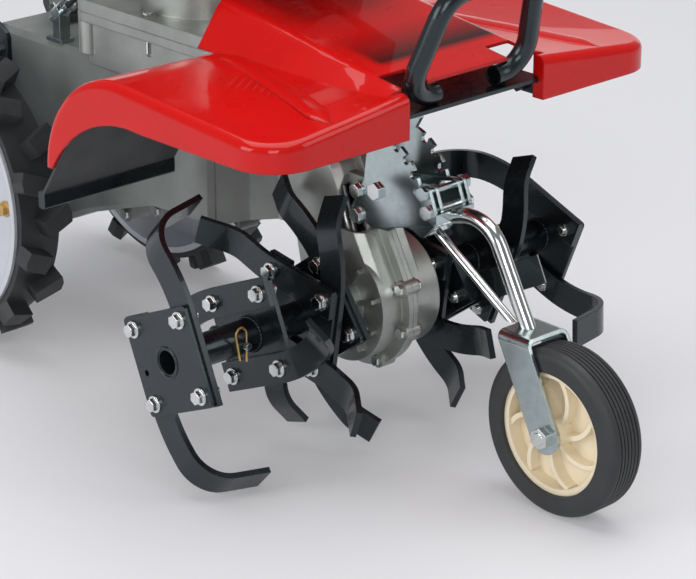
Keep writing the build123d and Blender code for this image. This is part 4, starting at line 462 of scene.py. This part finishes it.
# Moulded rings along the handle grips.
gripSettings = {
    "aside": 0.235, "height": 0.900, "start": -0.684, "pitch": 0.012, "count": 7,
    "shape": "disc", "axis": "Z", "size": (0.0188, 0.0188, 0.003),
    "finish": "gripRubber", "body": "handle", "slot": "grip_rubber", "points": [],
}
for side in (-1, 1):
    for index in range(gripSettings["count"]):
        along = gripSettings["start"] + gripSettings["pitch"] * index
        place = (along, side * gripSettings["aside"], gripSettings["height"])
        gripSettings["points"].append((place, (1.0, 0.0, 0.0)))
makeCopies("gripRings", gripSettings)

# Screws that hold the recoil cover down.
recoilSettings = {
    "centre": (0.097, 0.0), "radius": 0.066, "height": 0.6415, "count": 4, "phase": math.pi / 4,
    "shape": "hex", "axis": "Z", "size": (0.0045, 0.0045, 0.004),
    "finish": "zincPlate", "body": "chassis", "slot": "zinc_steel", "points": [],
}
for index in range(recoilSettings["count"]):
    angle = 2 * math.pi * index / recoilSettings["count"] + recoilSettings["phase"]
    place = (recoilSettings["centre"][0] + recoilSettings["radius"] * math.cos(angle),
             recoilSettings["centre"][1] + recoilSettings["radius"] * math.sin(angle),
             recoilSettings["height"])
    recoilSettings["points"].append((place, (0.0, 0.0, 1.0)))
makeCopies("recoilScrews", recoilSettings)
print("stage: repeated details made")


# Raised beads along the fender roofs, laid on the cover.
beadSettings = {
    "line": ((0.2544, 0.1228), (0.3131, 0.1331), (0.3935, 0.1543), (0.4797, 0.1811)),
    "stations": 40, "from": 0.6, "width": 0.0130, "height": 0.0028, "sink": 0.0001,
    "middle": 0.5, "taperShare": 0.12, "tip": 0.05, "profileSteps": 24,
    "finish": "redGloss", "body": "chassis", "slot": "red_gloss",
}


def onLine(line, share):
    spot = share * (len(line) - 1)
    index = min(int(spot), len(line) - 2)
    rest = spot - index
    before = Vector(line[max(index - 1, 0)])
    first = Vector(line[index])
    second = Vector(line[index + 1])
    after = Vector(line[min(index + 2, len(line) - 1)])
    slopeFirst = (second - before) / 2
    slopeSecond = (after - first) / 2
    return (first * (2 * rest ** 3 - 3 * rest ** 2 + 1)
            + slopeFirst * (rest ** 3 - 2 * rest ** 2 + rest)
            + second * (3 * rest ** 2 - 2 * rest ** 3)
            + slopeSecond * (rest ** 3 - rest ** 2))


def beadTree(name, settings):
    tree = bpy.data.node_groups.new(name + "Tree", "GeometryNodeTree")
    sockets = tree.interface
    sockets.new_socket("Line", in_out="INPUT", socket_type="NodeSocketGeometry")
    width = sockets.new_socket("Width", in_out="INPUT", socket_type="NodeSocketFloat")
    flatness = sockets.new_socket("Flatness", in_out="INPUT", socket_type="NodeSocketFloat")
    sockets.new_socket("Bead", in_out="OUTPUT", socket_type="NodeSocketGeometry")
    source = addNode(tree, "NodeGroupInput")
    curve = addNode(tree, "GeometryNodeMeshToCurve", inputs={"Mesh": source.outputs["Line"]})
    upright = addNode(tree, "GeometryNodeSetCurveNormal", {"mode": "Z_UP"}, {
        "Curve": curve.outputs["Curve"]})
    share = addNode(tree, "GeometryNodeSplineParameter").outputs["Factor"]
    toEnd = maths(tree, "PINGPONG", share, settings["middle"])
    taper = addNode(tree, "ShaderNodeMapRange", {"interpolation_type": "SMOOTHSTEP"}, {
        "Value": toEnd, "From Min": 0.0, "From Max": settings["taperShare"],
        "To Min": settings["tip"], "To Max": 1.0})
    profile = addNode(tree, "GeometryNodeCurvePrimitiveCircle", inputs={
        "Resolution": settings["profileSteps"], "Radius": source.outputs["Width"]})
    scale = addNode(tree, "ShaderNodeCombineXYZ", inputs={
        "X": 1.0, "Y": source.outputs["Flatness"], "Z": 1.0})
    flat = addNode(tree, "GeometryNodeTransform", inputs={
        "Geometry": profile.outputs["Curve"], "Scale": scale.outputs["Vector"]})
    solid = addNode(tree, "GeometryNodeCurveToMesh", inputs={
        "Curve": upright.outputs["Curve"], "Profile Curve": flat.outputs["Geometry"],
        "Scale": taper.outputs["Result"], "Fill Caps": True})
    real = addNode(tree, "GeometryNodeRealizeInstances", inputs={
        "Geometry": solid.outputs["Mesh"]})
    smooth = addNode(tree, "GeometryNodeSetShadeSmooth", inputs={
        "Geometry": real.outputs["Geometry"], "Shade Smooth": True})
    coloured = addNode(tree, "GeometryNodeSetMaterial", inputs={
        "Geometry": smooth.outputs["Geometry"], "Material": materials[settings["finish"]]})
    target = addNode(tree, "NodeGroupOutput")
    tree.links.new(coloured.outputs["Geometry"], target.inputs["Bead"])
    return tree, width.identifier, flatness.identifier


def makeBeads(name, settings):
    cover = cadNodes["front_cover"]
    corners = [cover.matrix_world @ vertex.co for vertex in cover.data.vertices]
    surface = BVHTree.FromPolygons(corners, [list(face.vertices) for face in cover.data.polygons])
    places = []
    edges = []
    for side in (-1, 1):
        for station in range(settings["stations"]):
            spot = onLine(settings["line"], station / (settings["stations"] - 1))
            start = Vector((spot.x, side * spot.y, settings["from"]))
            hit = surface.ray_cast(start, Vector((0, 0, -1)))[0]
            if station > 0:
                edges.append((len(places) - 1, len(places)))
            places.append((hit.x, hit.y, hit.z - settings["sink"]))
    mesh = bpy.data.meshes.new(name + "Mesh")
    mesh.from_pydata(places, edges, [])
    tree, width, flatness = beadTree(name, settings)
    piece = bakeTree(name, mesh, tree, {
        width: settings["width"], flatness: settings["height"] / settings["width"]})
    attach(piece, settings["body"])
    return piece


makeBeads("fenderBeads", beadSettings)
print("stage: fender beads laid")


# Floor, lights and surroundings; the floor also glows, which paints light into its cast shadows
# near the machine.
# The floor glows pale for camera and glossy rays: fully far off as an even backdrop, and by a
# smaller share near the machine, where that glow lifts the cast shadows as painted light.
floorSettings = {"half": 9.0, "colour": (0.76, 0.76, 0.795), "second": (0.78, 0.78, 0.81),
                 "cloudScale": 1.5, "rough": 0.6, "specular": 0.15, "paleFrom": 1.6, "paleTo": 3.6,
                 "pale": (0.74, 0.74, 0.765), "nearShadowLift": 0.26}
lightAim = (0.25, 0.0, 0.2)
lightSettings = [
    {"name": "topLight", "place": (0.1, 0.3, 3.4), "size": (3.6, 3.6), "power": 98},
    {"name": "leftLight", "place": (-0.5, -3.0, 1.3), "size": (1.6, 1.8), "power": 40},
    {"name": "frontLight", "place": (2.9, -2.7, 1.7), "size": (1.4, 2.0), "power": 42},
    {"name": "rightLight", "place": (2.8, 1.6, 1.8), "size": (1.2, 1.8), "power": 15},
    {"name": "backLight", "place": (-2.2, 2.6, 0.7), "size": (3.6, 1.0), "power": 8},
]
worldSettings = {"colour": (0.97, 0.985, 1.0), "strength": 0.24}


def makeFloor(settings):
    half = settings["half"]
    mesh = bpy.data.meshes.new("floor")
    corners = [(-half, -half, 0), (half, -half, 0), (half, half, 0), (-half, half, 0)]
    mesh.from_pydata(corners, [], [(0, 1, 2, 3)])
    floor = bpy.data.objects.new("floor", mesh)
    scene.collection.objects.link(floor)
    material = bpy.data.materials.new("floorPaper")
    material.use_nodes = True
    tree = material.node_tree
    shader = tree.nodes["Principled BSDF"]
    place = addNode(tree, "ShaderNodeTexCoord").outputs["Object"]
    cloud = noise(tree, place, settings["cloudScale"])
    cloud = spread(tree, cloud, finishLimits["noiseLow"], finishLimits["noiseHigh"], 0.0, 1.0)
    colour = blendColours(tree, cloud, settings["colour"], settings["second"])
    tree.links.new(colour, shader.inputs["Base Color"])
    shader.inputs["Roughness"].default_value = settings["rough"]
    shader.inputs["Specular IOR Level"].default_value = settings["specular"]
    # Glow share by distance: the even pale backdrop far off, and near the machine a smaller share
    # that paints light into the cast shadows, also seen in reflections.
    away = addNode(tree, "ShaderNodeVectorMath", {"operation": "LENGTH"}, {0: place})
    far = spread(tree, away.outputs["Value"], settings["paleFrom"], settings["paleTo"],
                 settings["nearShadowLift"], 1.0)
    path = addNode(tree, "ShaderNodeLightPath")
    seen = maths(tree, "MAXIMUM", path.outputs["Is Camera Ray"], path.outputs["Is Glossy Ray"])
    glow = addNode(tree, "ShaderNodeEmission", inputs={
        "Color": (*settings["pale"], 1), "Strength": 1.0})
    both = addNode(tree, "ShaderNodeMixShader", inputs={
        0: maths(tree, "MULTIPLY", far, seen), 1: shader.outputs["BSDF"],
        2: glow.outputs["Emission"]})
    tree.links.new(both.outputs["Shader"], tree.nodes["Material Output"].inputs["Surface"])
    mesh.materials.append(material)
    return floor


def makeLight(settings):
    data = bpy.data.lights.new(settings["name"], "AREA")
    data.shape = "RECTANGLE"
    data.size = settings["size"][0]
    data.size_y = settings["size"][1]
    data.energy = settings["power"]
    light = bpy.data.objects.new(settings["name"], data)
    scene.collection.objects.link(light)
    light.location = settings["place"]
    aim = Vector(lightAim) - Vector(settings["place"])
    light.rotation_euler = aim.to_track_quat("-Z", "Y").to_euler()
    return light


def makeWorld(settings):
    world = bpy.data.worlds.new("studio")
    scene.world = world
    world.use_nodes = True
    background = world.node_tree.nodes["Background"]
    background.inputs["Color"].default_value = (*settings["colour"], 1)
    background.inputs["Strength"].default_value = settings["strength"]
    return world


makeFloor(floorSettings)
for settings in lightSettings:
    makeLight(settings)
makeWorld(worldSettings)
print("stage: floor and lights set")
